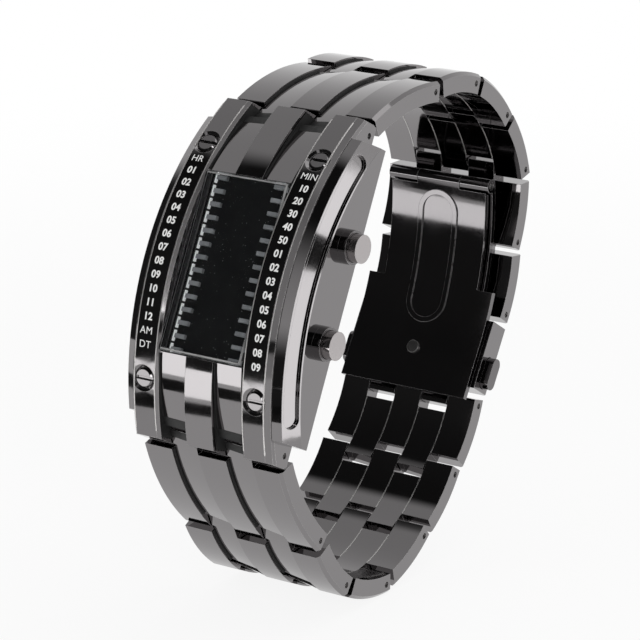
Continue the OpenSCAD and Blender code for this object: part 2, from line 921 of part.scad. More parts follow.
// One link between the pins at 0 and len: a bowed five-strip bar with two tongues at
// its first pin and three knuckles at its second
module link_form(len, bow) {
  half = asin(len / 2 / bow);
  arc = 2 * half / turn(bow);
  bow_y = len / 2;
  axis_z = -bow * cos(half);
  first = 90 + half;
  difference() {
    swept(bow_y, axis_z, first - (arc + knuckle_reach) * turn(bow), first + knuckle_reach * turn(bow))
      strip_section(bow - link_t / 2, bow + link_t / 2, link_step, link_bevel);
    translate([0, bow_y, axis_z])
      rotate([first - end_gap * turn(bow), 0, 0]) {
        translate([-half_w - cut, bow - link_t, 0])
          cube([strip_w + cut + side_gap, 2 * link_t, 2 * end_gap]);
        translate([-mid_w - side_gap, bow - link_t, 0])
          cube([strip_w + 2 * side_gap, 2 * link_t, 2 * end_gap]);
        translate([inner_w - side_gap, bow - link_t, 0])
          cube([strip_w + cut + side_gap, 2 * link_t, 2 * end_gap]);
      }
    translate([0, bow_y, axis_z])
      rotate([first - (arc - end_gap) * turn(bow), 0, 0])
        for (x = [-inner_w, mid_w])
          translate([x - side_gap, bow - link_t, -2 * end_gap])
            cube([strip_w + 2 * side_gap, 2 * link_t, 2 * end_gap]);
    bar(-half_w - cut, half_w + cut, 0, 0, pin_r + pin_run);
    bar(-half_w - cut, half_w + cut, len, 0, pin_r + pin_hold);
  }
}

module upper_link(p, dir) {
  color(gun_metal)
    stand()
      along(p, dir)
        link_form(link_pitch, link_bow);
}

module lower_link(p, dir) {
  color(gun_metal)
    stand()
      lower_half()
        along(p, dir)
          link_form(link_pitch, link_bow);
}

module upper_link_1() {
  color(gun_metal)
    stand()
      along(up_1, upper_dir_1)
        link_form(first_pitch, first_bow);
}

module upper_link_2() {
  upper_link(up_2, upper_dir_2);
}

module upper_link_3() {
  upper_link(up_3, upper_dir_3);
}

module upper_link_4() {
  upper_link(up_4, upper_dir_4);
}

module upper_link_5() {
  upper_link(up_5, upper_dir_5);
}

module upper_link_6() {
  upper_link(up_6, upper_dir_6);
}

module lower_link_1() {
  color(gun_metal)
    stand()
      lower_half()
        along(low_1, lower_dir_1)
          link_form(first_pitch, first_bow);
}

module lower_link_2() {
  lower_link(low_2, lower_dir_2);
}

module lower_link_3() {
  lower_link(low_3, lower_dir_3);
}

module lower_link_4() {
  lower_link(low_4, lower_dir_4);
}

module lower_link_5() {
  lower_link(low_5, lower_dir_5);
}

module lower_link_6() {
  lower_link(low_6, lower_dir_6);
}

// Link pin between the flanks
module pin_at(p) {
  color(steel)
    stand()
      bar(pin_sink - half_w, half_w - pin_sink, p[0], p[1], pin_r);
}

module upper_pin_1() {
  pin_at(up_1);
}

module upper_pin_2() {
  pin_at(up_2);
}

module upper_pin_3() {
  pin_at(up_3);
}

module upper_pin_4() {
  pin_at(up_4);
}

module upper_pin_5() {
  pin_at(up_5);
}

module upper_pin_6() {
  pin_at(up_6);
}

module upper_end_pin() {
  pin_at(up_end);
}

module lower_pin_1() {
  pin_at([low_1[0], -low_1[1]]);
}

module lower_pin_2() {
  pin_at([low_2[0], -low_2[1]]);
}

module lower_pin_3() {
  pin_at([low_3[0], -low_3[1]]);
}

module lower_pin_4() {
  pin_at([low_4[0], -low_4[1]]);
}

module lower_pin_5() {
  pin_at([low_5[0], -low_5[1]]);
}

module lower_pin_6() {
  pin_at([low_6[0], -low_6[1]]);
}

module lower_end_pin() {
  pin_at([low_end[0], -low_end[1]]);
}

// Puts a clasp piece in its place between the two end pins
module at_clasp() {
  stand()
    along(up_end, clasp_dir)
      children();
}

// Outline of a catch button, long along the band
module catch_outline(grow) {
  t = catch_t + 2 * grow;
  l = catch_l + 2 * grow;
  translate([catch_y, catch_z]) {
    square([l - t, t], center = true);
    for (s = [-1, 1])
      translate([s * (l - t) / 2, 0])
        circle(r = t / 2);
  }
}

module clasp_cover() {
  ear_x = strip_w - 2 * side_gap;
  color(gun_metal)
    at_clasp()
      difference() {
        union() {
          translate([0, end_gap, 0])
            rotate([-90, -90, 0])
              linear_extrude(height = cover_end - end_gap)
                strip_section(blade_out, link_t / 2, link_step, link_bevel);
          for (x = [-inner_w, mid_w])
            translate([x + side_gap, cover_end, -link_t / 2])
              cube([ear_x, end_gap + knuckle_reach, link_t - link_step]);
        }
        for (x = [-inner_w, mid_w])
          translate([x - ear_gap + side_gap, end_gap - cut, blade_out - cut])
            cube([ear_x + 2 * ear_gap, ear_len + ear_gap - end_gap + cut, far]);
        bar(-half_w, half_w, clasp_len, 0, pin_r + pin_run);
        for (s = [-1, 1])
          across(s > 0 ? catch_in - catch_travel : -half_w - cut,
                 s > 0 ? half_w + cut : catch_travel - catch_in)
            catch_outline(catch_fit);
        bar(-catch_in, catch_in, catch_y, catch_z, catch_spring_r + pin_hold);
        translate([0, rivet_at, blade_out - cut])
          cylinder(h = cut + rivet_root + play, r = rivet_shank_r + pin_hold);
      }
}

// Rib pressed into the blade's wrist side as the outline of a long slot
module blade_rib() {
  r0 = blade_bow - blade_t / 2 - rib_h;
  r1 = blade_bow - blade_t / 2 + rib_h;
  run = rib_span / 2 - rib_w;
  for (s = [-1, 1])
    swept(leaf_apex, bow_z, 90 + rib_to, 90 + rib_from)
      translate([r0, s > 0 ? run : -run - rib_w])
        square([r1 - r0, rib_w]);
  for (s = [-1, 1])
    translate([0, leaf_apex, bow_z])
      rotate([s > 0 ? rib_from : rib_to, 0, 0])
        translate([0, 0, r0])
          intersection() {
            difference() {
              cylinder(h = r1 - r0, r = rib_span / 2);
              translate([0, 0, -cut])
                cylinder(h = r1 - r0 + 2 * cut, r = run);
            }
            translate([-rib_span, s > 0 ? -rib_span : 0, -cut])
              cube([2 * rib_span, rib_span, 2 * cut + r1 - r0]);
          }
}

// Key inside the blade's sheet where two of its lengths meet
module blade_key(a) {
  translate([0, leaf_apex, bow_z])
    rotate([a, 0, 0])
      translate([-blade_w / 4, -blade_step / 2, blade_bow - blade_t / 4])
        cube([blade_w / 2, blade_step, blade_t / 2]);
}

module clasp_blade() {
  step_angle = asin((leaf_apex + blade_step) / blade_bow);
  color(dark_metal)
    at_clasp()
      difference() {
        union() {
          swept(leaf_apex, bow_z, 90 + step_angle, 90 + hinge_angle)
            translate([blade_bow - blade_t / 2, -blade_w / 2])
              square([blade_t, blade_w]);
          swept(leaf_apex, bow_z, 90, 90 + step_angle)
            translate([blade_bow - blade_t / 2, -blade_foot_w / 2])
              square([blade_t, blade_foot_w]);
          translate([-blade_foot_w / 2, leaf_apex, blade_out - blade_t])
            cube([blade_foot_w, clasp_len - leaf_apex, blade_t]);
          blade_key(0);
          blade_key(step_angle);
          bar(-hinge_mid_w / 2, hinge_mid_w / 2, hinge_y, hinge_z, hinge_r);
          blade_rib();
        }
        bar(-half_w, half_w, hinge_y, hinge_z, hinge_pin_r + pin_hold);
        for (s = [-1, 1])
          bar(s > 0 ? hinge_mid_w / 2 : -half_w, s > 0 ? half_w : -hinge_mid_w / 2,
              hinge_y, hinge_z, hinge_r + hinge_swing);
        translate([0, rivet_at, blade_out - blade_t - cut])
          cylinder(h = blade_t + 2 * cut, r = rivet_shank_r + pin_hold);
      }
}

module clasp_rivet() {
  color(steel)
    at_clasp()
      translate([0, rivet_at, blade_out - blade_t]) {
        translate([0, 0, -rivet_h])
          cylinder(h = rivet_h, r = rivet_r);
        cylinder(h = blade_t + rivet_root, r = rivet_shank_r);
      }
}

// Spring between the catch buttons, drawn as a ribbed rod at its pressed length
module clasp_spring() {
  reach = catch_in - catch_travel - spring_gap;
  ribs = 12;
  rib_pitch = 2 * reach / ribs;
  color(steel)
    at_clasp()
      translate([-reach, catch_y, catch_z])
        rotate([0, 90, 0])
          rotate_extrude() {
            square([catch_spring_r - 2 * wire_r, 2 * reach]);
            for (k = [0:ribs - 1])
              translate([0, (k + 0.25) * rib_pitch])
                square([catch_spring_r, rib_pitch / 2]);
          }
}

module clasp_leaf() {
  ear_x = strip_w - 2 * (side_gap + ear_side);
  hinge_x = hinge_mid_w / 2 + hinge_side;
  end_angle = asin(leaf_apex / leaf_bow);
  leaf_z = bow_z + leaf_bow * cos(end_angle);
  color(dark_metal)
    at_clasp()
      difference() {
        union() {
          swept(leaf_apex, bow_z, 90 + end_angle, 90 + hinge_angle)
            translate([leaf_bow - leaf_t / 2, -leaf_w / 2])
              square([leaf_t, leaf_w]);
          for (s = [-1, 1])
            bar(s > 0 ? hinge_x : -leaf_w / 2, s > 0 ? leaf_w / 2 : -hinge_x, hinge_y, hinge_z, hinge_r);
          for (x = [-inner_w, mid_w])
            translate([x + side_gap + ear_side, 0, 0]) {
              bar(0, ear_x, 0, 0, eye_r);
              translate([0, -eye_r, leaf_z - leaf_t / 4])
                cube([ear_x, 2 * eye_r, -leaf_z]);
              translate([0, 0, leaf_z])
                cube([ear_x, ear_len, eye_r]);
            }
        }
        bar(-half_w, half_w, hinge_y, hinge_z, hinge_pin_r + pin_run);
        bar(-half_w, half_w, 0, 0, pin_r + eye_gap);
        bar(-hinge_x, hinge_x, hinge_y, hinge_z, hinge_r + hinge_swing);
      }
}

module leaf_pin() {
  color(steel)
    at_clasp()
      bar(pin_sink - leaf_w / 2, leaf_w / 2 - pin_sink, hinge_y, hinge_z, hinge_pin_r);
}

module catch_form() {
  across(catch_in, half_w + catch_reach)
    catch_outline(0);
}

module catch_button_right() {
  color(dark_metal)
    at_clasp()
      catch_form();
}

module catch_button_left() {
  color(dark_metal)
    at_clasp()
      mirror([1, 0, 0])
        catch_form();
}

case_body();
hour_plate();
minute_plate();
plate_screws();
side_rail_left();
side_rail_right();
crystal();
crystal_gasket();
light_board();
hour_lights();
minute_lights();
coin_cell();
cell_clip();
back_cover();
back_gasket();
collar_upper();
collar_lower();
button_spring_upper();
button_spring_lower();
button_upper();
button_clip_upper();
button_lower();
button_clip_lower();
upper_link_1();
upper_link_2();
upper_link_3();
upper_link_4();
upper_link_5();
upper_link_6();
lower_link_1();
lower_link_2();
lower_link_3();
lower_link_4();
lower_link_5();
lower_link_6();
upper_pin_1();
upper_pin_2();
upper_pin_3();
upper_pin_4();
upper_pin_5();
upper_pin_6();
lower_pin_1();
lower_pin_2();
lower_pin_3();
lower_pin_4();
lower_pin_5();
lower_pin_6();
upper_end_pin();
lower_end_pin();
clasp_cover();
clasp_blade();
clasp_rivet();
clasp_spring();
clasp_leaf();
leaf_pin();
catch_button_left();
catch_button_right();
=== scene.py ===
"""Finishes, printed legends, shaded seams, thin trim with painted shade, highlights and glow, and studio of a
bracelet watch with a light display.
"""

import logging
import math
from dataclasses import dataclass, field
from enum import Enum
from typing import Callable, Mapping, Sequence, Union

import bmesh
import bpy
from bmesh.types import BMesh, BMVert
from bpy.types import Material, Mesh, Node, NodeSocket, NodeTree, Object
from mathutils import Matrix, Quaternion, Vector

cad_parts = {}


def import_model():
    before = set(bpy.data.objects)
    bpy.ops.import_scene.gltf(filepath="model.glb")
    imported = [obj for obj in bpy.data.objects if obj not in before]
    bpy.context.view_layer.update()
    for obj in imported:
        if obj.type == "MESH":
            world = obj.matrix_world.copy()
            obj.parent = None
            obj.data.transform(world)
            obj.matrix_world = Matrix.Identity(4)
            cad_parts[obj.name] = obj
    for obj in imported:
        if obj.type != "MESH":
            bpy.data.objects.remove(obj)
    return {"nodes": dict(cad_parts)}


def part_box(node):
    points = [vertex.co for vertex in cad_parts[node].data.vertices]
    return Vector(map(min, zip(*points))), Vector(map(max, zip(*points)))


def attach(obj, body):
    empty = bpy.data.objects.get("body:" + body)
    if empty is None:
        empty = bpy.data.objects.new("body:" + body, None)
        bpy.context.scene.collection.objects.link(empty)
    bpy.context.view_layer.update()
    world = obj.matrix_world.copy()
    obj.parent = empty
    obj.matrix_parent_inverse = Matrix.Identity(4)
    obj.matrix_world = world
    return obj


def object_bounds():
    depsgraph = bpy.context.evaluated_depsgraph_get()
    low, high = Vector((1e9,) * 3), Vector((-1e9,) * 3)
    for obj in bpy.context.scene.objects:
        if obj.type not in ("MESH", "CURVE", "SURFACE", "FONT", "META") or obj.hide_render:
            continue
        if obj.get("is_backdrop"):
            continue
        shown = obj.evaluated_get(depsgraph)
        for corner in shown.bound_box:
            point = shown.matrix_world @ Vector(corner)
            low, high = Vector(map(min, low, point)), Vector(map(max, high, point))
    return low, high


LOG = logging.getLogger("watch")
MM = 0.001
LINKS = 6
FLOOR_GAP = 0.1 * MM
FADE_OUT = (1.0, 0.0)
WHITE = (1.0, 1.0, 1.0)

Colour = tuple[float, float, float]
Point = tuple[float, float, float]
Span = tuple[float, float]
Feed = Union[NodeSocket, float, Sequence[float]]
ArcSpot = Callable[[float, float], Vector]


@dataclass(frozen=True)
class Stance:
    """How the watch leans back about the middle of the wrist opening, and how its front arches."""

    lean: float = math.radians(27.0)
    wrist_depth: float = 31.5 * MM
    arch: float = 43.5 * MM
    arch_axis: float = 40.0 * MM

    def place(self, across: float, depth: float, height: float) -> Vector:
        """Turns a point of the upright dial into the frame of the leaning watch.

        Args:
            across: Distance toward the push buttons, in metres.
            depth: Distance behind the plane of the plate screws.
            height: Distance toward the twelve o'clock end.

        Returns:
            The point in the watch's frame.
        """
        back = depth - self.wrist_depth
        cos, sin = math.cos(self.lean), math.sin(self.lean)
        return Vector((across, back * cos + height * sin, height * cos - back * sin))

    def on_arc(self, across: float, axis: float, radius: float, angle: float) -> Vector:
        """Gives a point of an arc that bends along the dial.

        Args:
            across: Distance toward the push buttons, in metres.
            axis: Depth of the arc's axis.
            radius: The arc's radius.
            angle: Turn from the dial's middle toward the twelve o'clock end.

        Returns:
            The point in the watch's frame.
        """
        return self.place(across, axis - radius * math.cos(angle), radius * math.sin(angle))


STANCE = Stance()


class Half(Enum):
    """The two halves of the bracelet."""

    UPPER = "upper"
    LOWER = "lower"

    def link(self, number: int) -> str:
        """Names a link, counted from the case."""
        return f"{self.value}_link_{number}"

    def pin(self, number: int) -> str:
        """Names the pin before a link, or the end pin past the last one."""
        return f"{self.value}_pin_{number}" if number <= LINKS else f"{self.value}_end_pin"


def rgba(colour: Colour) -> tuple[float, float, float, float]:
    """Adds full opacity to a colour."""
    return (*colour, 1.0)


class Graph:
    """A node tree with short calls for making and joining its nodes.

    The Mix node has sockets of the same name for each kind of value, so its colours go by their places.
    """

    FIRST_COLOUR = 6
    SECOND_COLOUR = 7
    MIXED_COLOUR = 2

    def __init__(self, tree: NodeTree) -> None:
        """Takes over a tree and clears it."""
        self.tree = tree
        tree.nodes.clear()

    def fill(self, node: Node, inputs: Mapping[str | int, Feed]) -> None:
        """Sets or joins a node's inputs.

        Args:
            node: The node.
            inputs: Values or sockets by input name or place.
        """
        for key, value in inputs.items():
            if isinstance(value, NodeSocket):
                self.tree.links.new(value, node.inputs[key])
            else:
                node.inputs[key].default_value = value

    def add(self, kind: str, inputs: Mapping[str | int, Feed] | None = None, **settings: object) -> Node:
        """Adds a node.

        Args:
            kind: The node's type name without its ShaderNode prefix.
            inputs: Values or sockets by input name or place.
            settings: Attributes of the node itself.

        Returns:
            The new node.
        """
        prefix = "" if kind.startswith("Node") else "ShaderNode"
        node = self.tree.nodes.new(prefix + kind)
        for name, value in settings.items():
            setattr(node, name, value)
        self.fill(node, inputs or {})
        return node

    def group(self, tree: NodeTree, inputs: Mapping[str, Feed]) -> Node:
        """Places a node group with its own values."""
        return self.add("Group", inputs, node_tree=tree)

    def math(self, operation: str, first: Feed, second: Feed = 0.0) -> NodeSocket:
        """Adds a Math node and gives back its result."""
        return self.add("Math", {0: first, 1: second}, operation=operation).outputs[0]

    def times(self, first: Feed, second: Feed) -> NodeSocket:
        """Multiplies two values."""
        return self.math("MULTIPLY", first, second)

    def distance(self, value: Feed, place: float) -> NodeSocket:
        """Measures how far a value lies from a place on its scale."""
        return self.math("ABSOLUTE", self.math("SUBTRACT", value, place))

    def weigh(self, first: Feed, second: Feed, share: float) -> NodeSocket:
        """Adds up two values, the second by its share and the first by the rest."""
        return self.math("ADD", self.times(first, 1.0 - share), self.times(second, share))

    def ramp(self, value: Feed, span: Span, ends: tuple[Feed, Feed] = (0.0, 1.0)) -> NodeSocket:
        """Eases a value from one span to another.

        Args:
            value: The socket to ease.
            span: Where the easing starts and ends.
            ends: The results there.

        Returns:
            The eased value's socket.
        """
        inputs = {"Value": value, "From Min": span[0], "From Max": span[1]}
        results = {"To Min": ends[0], "To Max": ends[1]}
        return self.add("MapRange", inputs | results, interpolation_type="SMOOTHSTEP").outputs["Result"]

    def mix_colours(self, share: Feed, first: Feed, second: Feed) -> NodeSocket:
        """Mixes two colours.

        Args:
            share: How much of the second colour shows.
            first: The first colour.
            second: The second colour.

        Returns:
            The mixed colour's socket.
        """
        inputs = {"Factor": share, self.FIRST_COLOUR: first, self.SECOND_COLOUR: second}
        return self.add("Mix", inputs, data_type="RGBA").outputs[self.MIXED_COLOUR]

    def coords(self) -> NodeSocket:
        """Gives the place on the piece, in metres."""
        return self.add("TexCoord").outputs["Object"]

    def noise(self, coords: Feed, scale: Feed, detail: float) -> NodeSocket:
        """Draws a cloudy pattern.

        Args:
            coords: Where the pattern lies.
            scale: How fine it is.
            detail: How many finer layers it has.

        Returns:
            The socket of the pattern's strength.
        """
        return self.add("TexNoise", {"Vector": coords, "Scale": scale, "Detail": detail}).outputs["Fac"]


class Effect(Enum):
    """Surface effects that several finishes share."""

    SOFT_EDGES = "Soft edges"
    EDGE_SHINE = "Edge shine"
    HANDLING = "Handling marks"
    HAIRLINES = "Hairlines"
    SPECKS = "Dust specks"


@dataclass
class EffectShelf:
    """Builds each shared effect once, as a node group."""

    bevel_samples: int = 6
    edge_span: Span = (0.006, 0.07)
    patch_scale: float = 900.0
    patch_detail: float = 3.0
    patch_span: Span = (0.35, 0.65)
    patch_least: float = 0.35
    haze_span: Span = (0.36, 0.68)
    haze_detail: float = 4.0
    wipe_scale: float = 2600.0
    wipe_detail: float = 2.0
    wipe_share: float = 0.25
    line_scales: Point = (9000.0, 260.0, 260.0)
    line_detail: float = 2.0
    wave_scale: float = 520.0
    wave_detail: float = 1.0
    wave_share: float = 0.65
    built: dict[Effect, NodeTree] = field(default_factory=dict)

    def get(self, effect: Effect) -> NodeTree:
        """Gives the group of an effect, built at its first use.

        Args:
            effect: Which effect.

        Returns:
            Its node group.
        """
        if effect not in self.built:
            makers = {
                Effect.SOFT_EDGES: self._soft_edges,
                Effect.EDGE_SHINE: self._edge_shine,
                Effect.HANDLING: self._handling,
                Effect.HAIRLINES: self._hairlines,
                Effect.SPECKS: self._specks,
            }
            self.built[effect] = makers[effect]()
            LOG.info("effect %s", effect.value)
        return self.built[effect]

    @staticmethod
    def _tree(
        effect: Effect, inputs: Mapping[str, Feed], outputs: Mapping[str, str]
    ) -> tuple[Graph, Node, Node]:
        """Makes a group's tree with its sockets.

        Args:
            effect: Which effect, whose name the group gets.
            inputs: Default value of each input; a tuple makes a colour.
            outputs: Socket type of each output.

        Returns:
            The graph, the group's input node and its output node.
        """
        tree = bpy.data.node_groups.new(effect.value, "ShaderNodeTree")
        for label, value in inputs.items():
            kind = "NodeSocketColor" if isinstance(value, tuple) else "NodeSocketFloat"
            tree.interface.new_socket(label, in_out="INPUT", socket_type=kind).default_value = value
        for label, kind in outputs.items():
            tree.interface.new_socket(label, in_out="OUTPUT", socket_type=kind)
        graph = Graph(tree)
        return graph, graph.add("NodeGroupInput"), graph.add("NodeGroupOutput")

    def _rounded(self, graph: Graph, inlet: Node) -> NodeSocket:
        """Gives the normal with its edges rounded by the group's radius."""
        bevel = graph.add("Bevel", {"Radius": inlet.outputs["Radius"]}, samples=self.bevel_samples)
        return bevel.outputs["Normal"]

    def _soft_edges(self) -> NodeTree:
        """Rounds the shading of sharp edges.

        Returns:
            The node group.
        """
        inputs = {"Radius": 0.1 * MM}
        graph, inlet, outlet = self._tree(Effect.SOFT_EDGES, inputs, {"Normal": "NodeSocketVector"})
        graph.fill(outlet, {"Normal": self._rounded(graph, inlet)})
        return graph.tree

    def _edge_shine(self) -> NodeTree:
        """Lightens a plating where its edges are rubbed.

        Returns:
            The node group.
        """
        colours = {"Colour": rgba((0.2, 0.2, 0.2)), "Rubbed": rgba((0.5, 0.5, 0.5))}
        inputs = colours | {"Radius": 0.2 * MM, "Amount": 0.5}
        outputs = {"Colour": "NodeSocketColor", "Mask": "NodeSocketFloat"}
        graph, inlet, outlet = self._tree(Effect.EDGE_SHINE, inputs, outputs)
        facing = graph.add("NewGeometry").outputs["Normal"]
        agree = graph.add("VectorMath", {0: self._rounded(graph, inlet), 1: facing}, operation="DOT_PRODUCT")
        edge = graph.ramp(graph.math("SUBTRACT", 1.0, agree.outputs["Value"]), self.edge_span)
        patch = graph.noise(graph.coords(), self.patch_scale, self.patch_detail)
        worn = graph.times(edge, graph.ramp(patch, self.patch_span, (self.patch_least, 1.0)))
        amount = graph.times(worn, inlet.outputs["Amount"])
        colour = graph.mix_colours(amount, inlet.outputs["Colour"], inlet.outputs["Rubbed"])
        graph.fill(outlet, {"Colour": colour, "Mask": amount})
        return graph.tree

    def _handling(self) -> NodeTree:
        """Varies the gloss with faint wipe marks and finger haze.

        Returns:
            The node group.
        """
        inputs = {"Clean": 0.1, "Hazy": 0.2, "Scale": 140.0}
        graph, inlet, outlet = self._tree(Effect.HANDLING, inputs, {"Roughness": "NodeSocketFloat"})
        coords = graph.coords()
        cloud = graph.noise(coords, inlet.outputs["Scale"], self.haze_detail)
        wipes = graph.noise(coords, self.wipe_scale, self.wipe_detail)
        haze = graph.weigh(cloud, wipes, self.wipe_share)
        rough = graph.ramp(haze, self.haze_span, (inlet.outputs["Clean"], inlet.outputs["Hazy"]))
        graph.fill(outlet, {"Roughness": rough})
        return graph.tree

    def _hairlines(self) -> NodeTree:
        """Draws fine polishing lines along the band, over slight waves.

        Returns:
            The node group.
        """
        inputs = {"Amount": 1.0}
        graph, inlet, outlet = self._tree(Effect.HAIRLINES, inputs, {"Height": "NodeSocketFloat"})
        coords = graph.coords()
        drawn = graph.add("Mapping", {"Vector": coords, "Scale": self.line_scales}).outputs["Vector"]
        lines = graph.noise(drawn, 1.0, self.line_detail)
        waves = graph.noise(coords, self.wave_scale, self.wave_detail)
        both = graph.weigh(lines, waves, self.wave_share)
        graph.fill(outlet, {"Height": graph.times(both, inlet.outputs["Amount"])})
        return graph.tree

    def _specks(self) -> NodeTree:
        """Scatters small dust specks.

        Returns:
            The node group.
        """
        inputs = {"Scale": 2600.0, "Size": 0.12, "Share": 0.25}
        graph, inlet, outlet = self._tree(Effect.SPECKS, inputs, {"Mask": "NodeSocketFloat"})
        cells = graph.add("TexVoronoi", {"Vector": graph.coords(), "Scale": inlet.outputs["Scale"]})
        near = graph.math("LESS_THAN", cells.outputs["Distance"], inlet.outputs["Size"])
        pick = graph.add("SeparateXYZ", {"Vector": cells.outputs["Color"]}).outputs["X"]
        chosen = graph.math("LESS_THAN", pick, inlet.outputs["Share"])
        graph.fill(outlet, {"Mask": graph.times(near, chosen)})
        return graph.tree


def start_material(name: str) -> tuple[Material, Graph, Node]:
    """Makes a material with a Principled shader.

    Args:
        name: The material's name.

    Returns:
        The material, its graph and its shader node.
    """
    material = bpy.data.materials.new(name)
    material.use_nodes = True
    graph = Graph(material.node_tree)
    shader = graph.add("BsdfPrincipled")
    graph.add("OutputMaterial", {"Surface": shader.outputs["BSDF"]})
    return material, graph, shader


@dataclass(frozen=True)
class Plating:
    """A polished metal finish with rubbed edges, haze and polishing lines."""

    name: str
    colour: Colour
    rubbed: Colour
    clean: float
    hazy: float
    haze_scale: float = 140.0
    rounding: float = 0.07 * MM
    rub: float = 0.6
    rub_reach: float = 0.13 * MM
    rub_haze: float = 0.5
    rub_span: Span = (0.0, 0.5)
    lines: float = 0.5
    line_strength: float = 0.25
    line_depth: float = 0.004 * MM

    def build(self, shelf: EffectShelf) -> Material:
        """Makes the material.

        Args:
            shelf: The shared effects.

        Returns:
            The new material.
        """
        material, graph, shader = start_material(self.name)
        shine = graph.group(shelf.get(Effect.EDGE_SHINE), {
            "Colour": rgba(self.colour),
            "Rubbed": rgba(self.rubbed),
            "Radius": self.rub_reach,
            "Amount": self.rub,
        })
        haze = {"Clean": self.clean, "Hazy": self.hazy, "Scale": self.haze_scale}
        marks = graph.group(shelf.get(Effect.HANDLING), haze)
        edges = graph.group(shelf.get(Effect.SOFT_EDGES), {"Radius": self.rounding})
        lines = graph.group(shelf.get(Effect.HAIRLINES), {"Amount": self.lines})
        bump = graph.add("Bump", {
            "Strength": self.line_strength,
            "Distance": self.line_depth,
            "Height": lines.outputs["Height"],
            "Normal": edges.outputs["Normal"],
        })
        rough = graph.ramp(shine.outputs["Mask"], self.rub_span, (marks.outputs["Roughness"], self.rub_haze))
        graph.fill(shader, {
            "Base Color": shine.outputs["Colour"],
            "Metallic": 1.0,
            "Roughness": rough,
            "Normal": bump.outputs["Normal"],
        })
        return material


@dataclass(frozen=True)
class Moulding:
    """A non-metal finish with a slight mottle, grain and dust, and a painted glow where glow is set."""

    name: str
    colour: Colour
    mottle: Colour
    clean: float
    hazy: float
    haze_scale: float = 300.0
    mottle_scale: float = 420.0
    mottle_detail: float = 4.0
    mottle_span: Span = (0.35, 0.65)
    grain: float = 0.01 * MM
    grain_scale: float = 2200.0
    grain_detail: float = 2.0
    grain_strength: float = 0.4
    dust: float = 0.0
    dust_colour: Colour = (0.35, 0.35, 0.36)
    speck_scale: float = 2600.0
    speck_size: float = 0.16
    glow: float = 0.0

    def build(self, shelf: EffectShelf) -> Material:
        """Makes the material.

        Args:
            shelf: The shared effects.

        Returns:
            The new material.
        """
        material, graph, shader = start_material(self.name)
        coords = graph.coords()
        cloud = graph.noise(coords, self.mottle_scale, self.mottle_detail)
        colour = graph.mix_colours(graph.ramp(cloud, self.mottle_span), rgba(self.colour), rgba(self.mottle))
        if self.dust:
            scatter = {"Scale": self.speck_scale, "Size": self.speck_size, "Share": self.dust}
            specks = graph.group(shelf.get(Effect.SPECKS), scatter)
            colour = graph.mix_colours(specks.outputs["Mask"], colour, rgba(self.dust_colour))
        haze = {"Clean": self.clean, "Hazy": self.hazy, "Scale": self.haze_scale}
        marks = graph.group(shelf.get(Effect.HANDLING), haze)
        grain = graph.noise(coords, self.grain_scale, self.grain_detail)
        bump = graph.add("Bump", {"Strength": self.grain_strength, "Distance": self.grain, "Height": grain})
        graph.fill(shader, {
            "Base Color": colour,
            "Roughness": marks.outputs["Roughness"],
            "Normal": bump.outputs["Normal"],
            # Emission here is a painted glow: the piece is no lamp.
            "Emission Color": rgba(self.colour),
            "Emission Strength": self.glow,
        })
        return material


@dataclass(frozen=True)
class Glass:
    """Clear mineral glass with soft edges and a trace of haze."""

    name: str
    tint: Colour
    index: float = 1.5
    clean: float = 0.0
    hazy: float = 0.03
    haze_scale: float = 220.0
    rounding: float = 0.05 * MM

    def build(self, shelf: EffectShelf) -> Material:
        """Makes the material.

        Args:
            shelf: The shared effects.

        Returns:
            The new material.
        """
        material, graph, shader = start_material(self.name)
        haze = {"Clean": self.clean, "Hazy": self.hazy, "Scale": self.haze_scale}
        marks = graph.group(shelf.get(Effect.HANDLING), haze)
        edges = graph.group(shelf.get(Effect.SOFT_EDGES), {"Radius": self.rounding})
        graph.fill(shader, {
            "Base Color": rgba(self.tint),
            "IOR": self.index,
            "Transmission Weight": 1.0,
            "Roughness": marks.outputs["Roughness"],
            "Normal": edges.outputs["Normal"],
        })
        return material


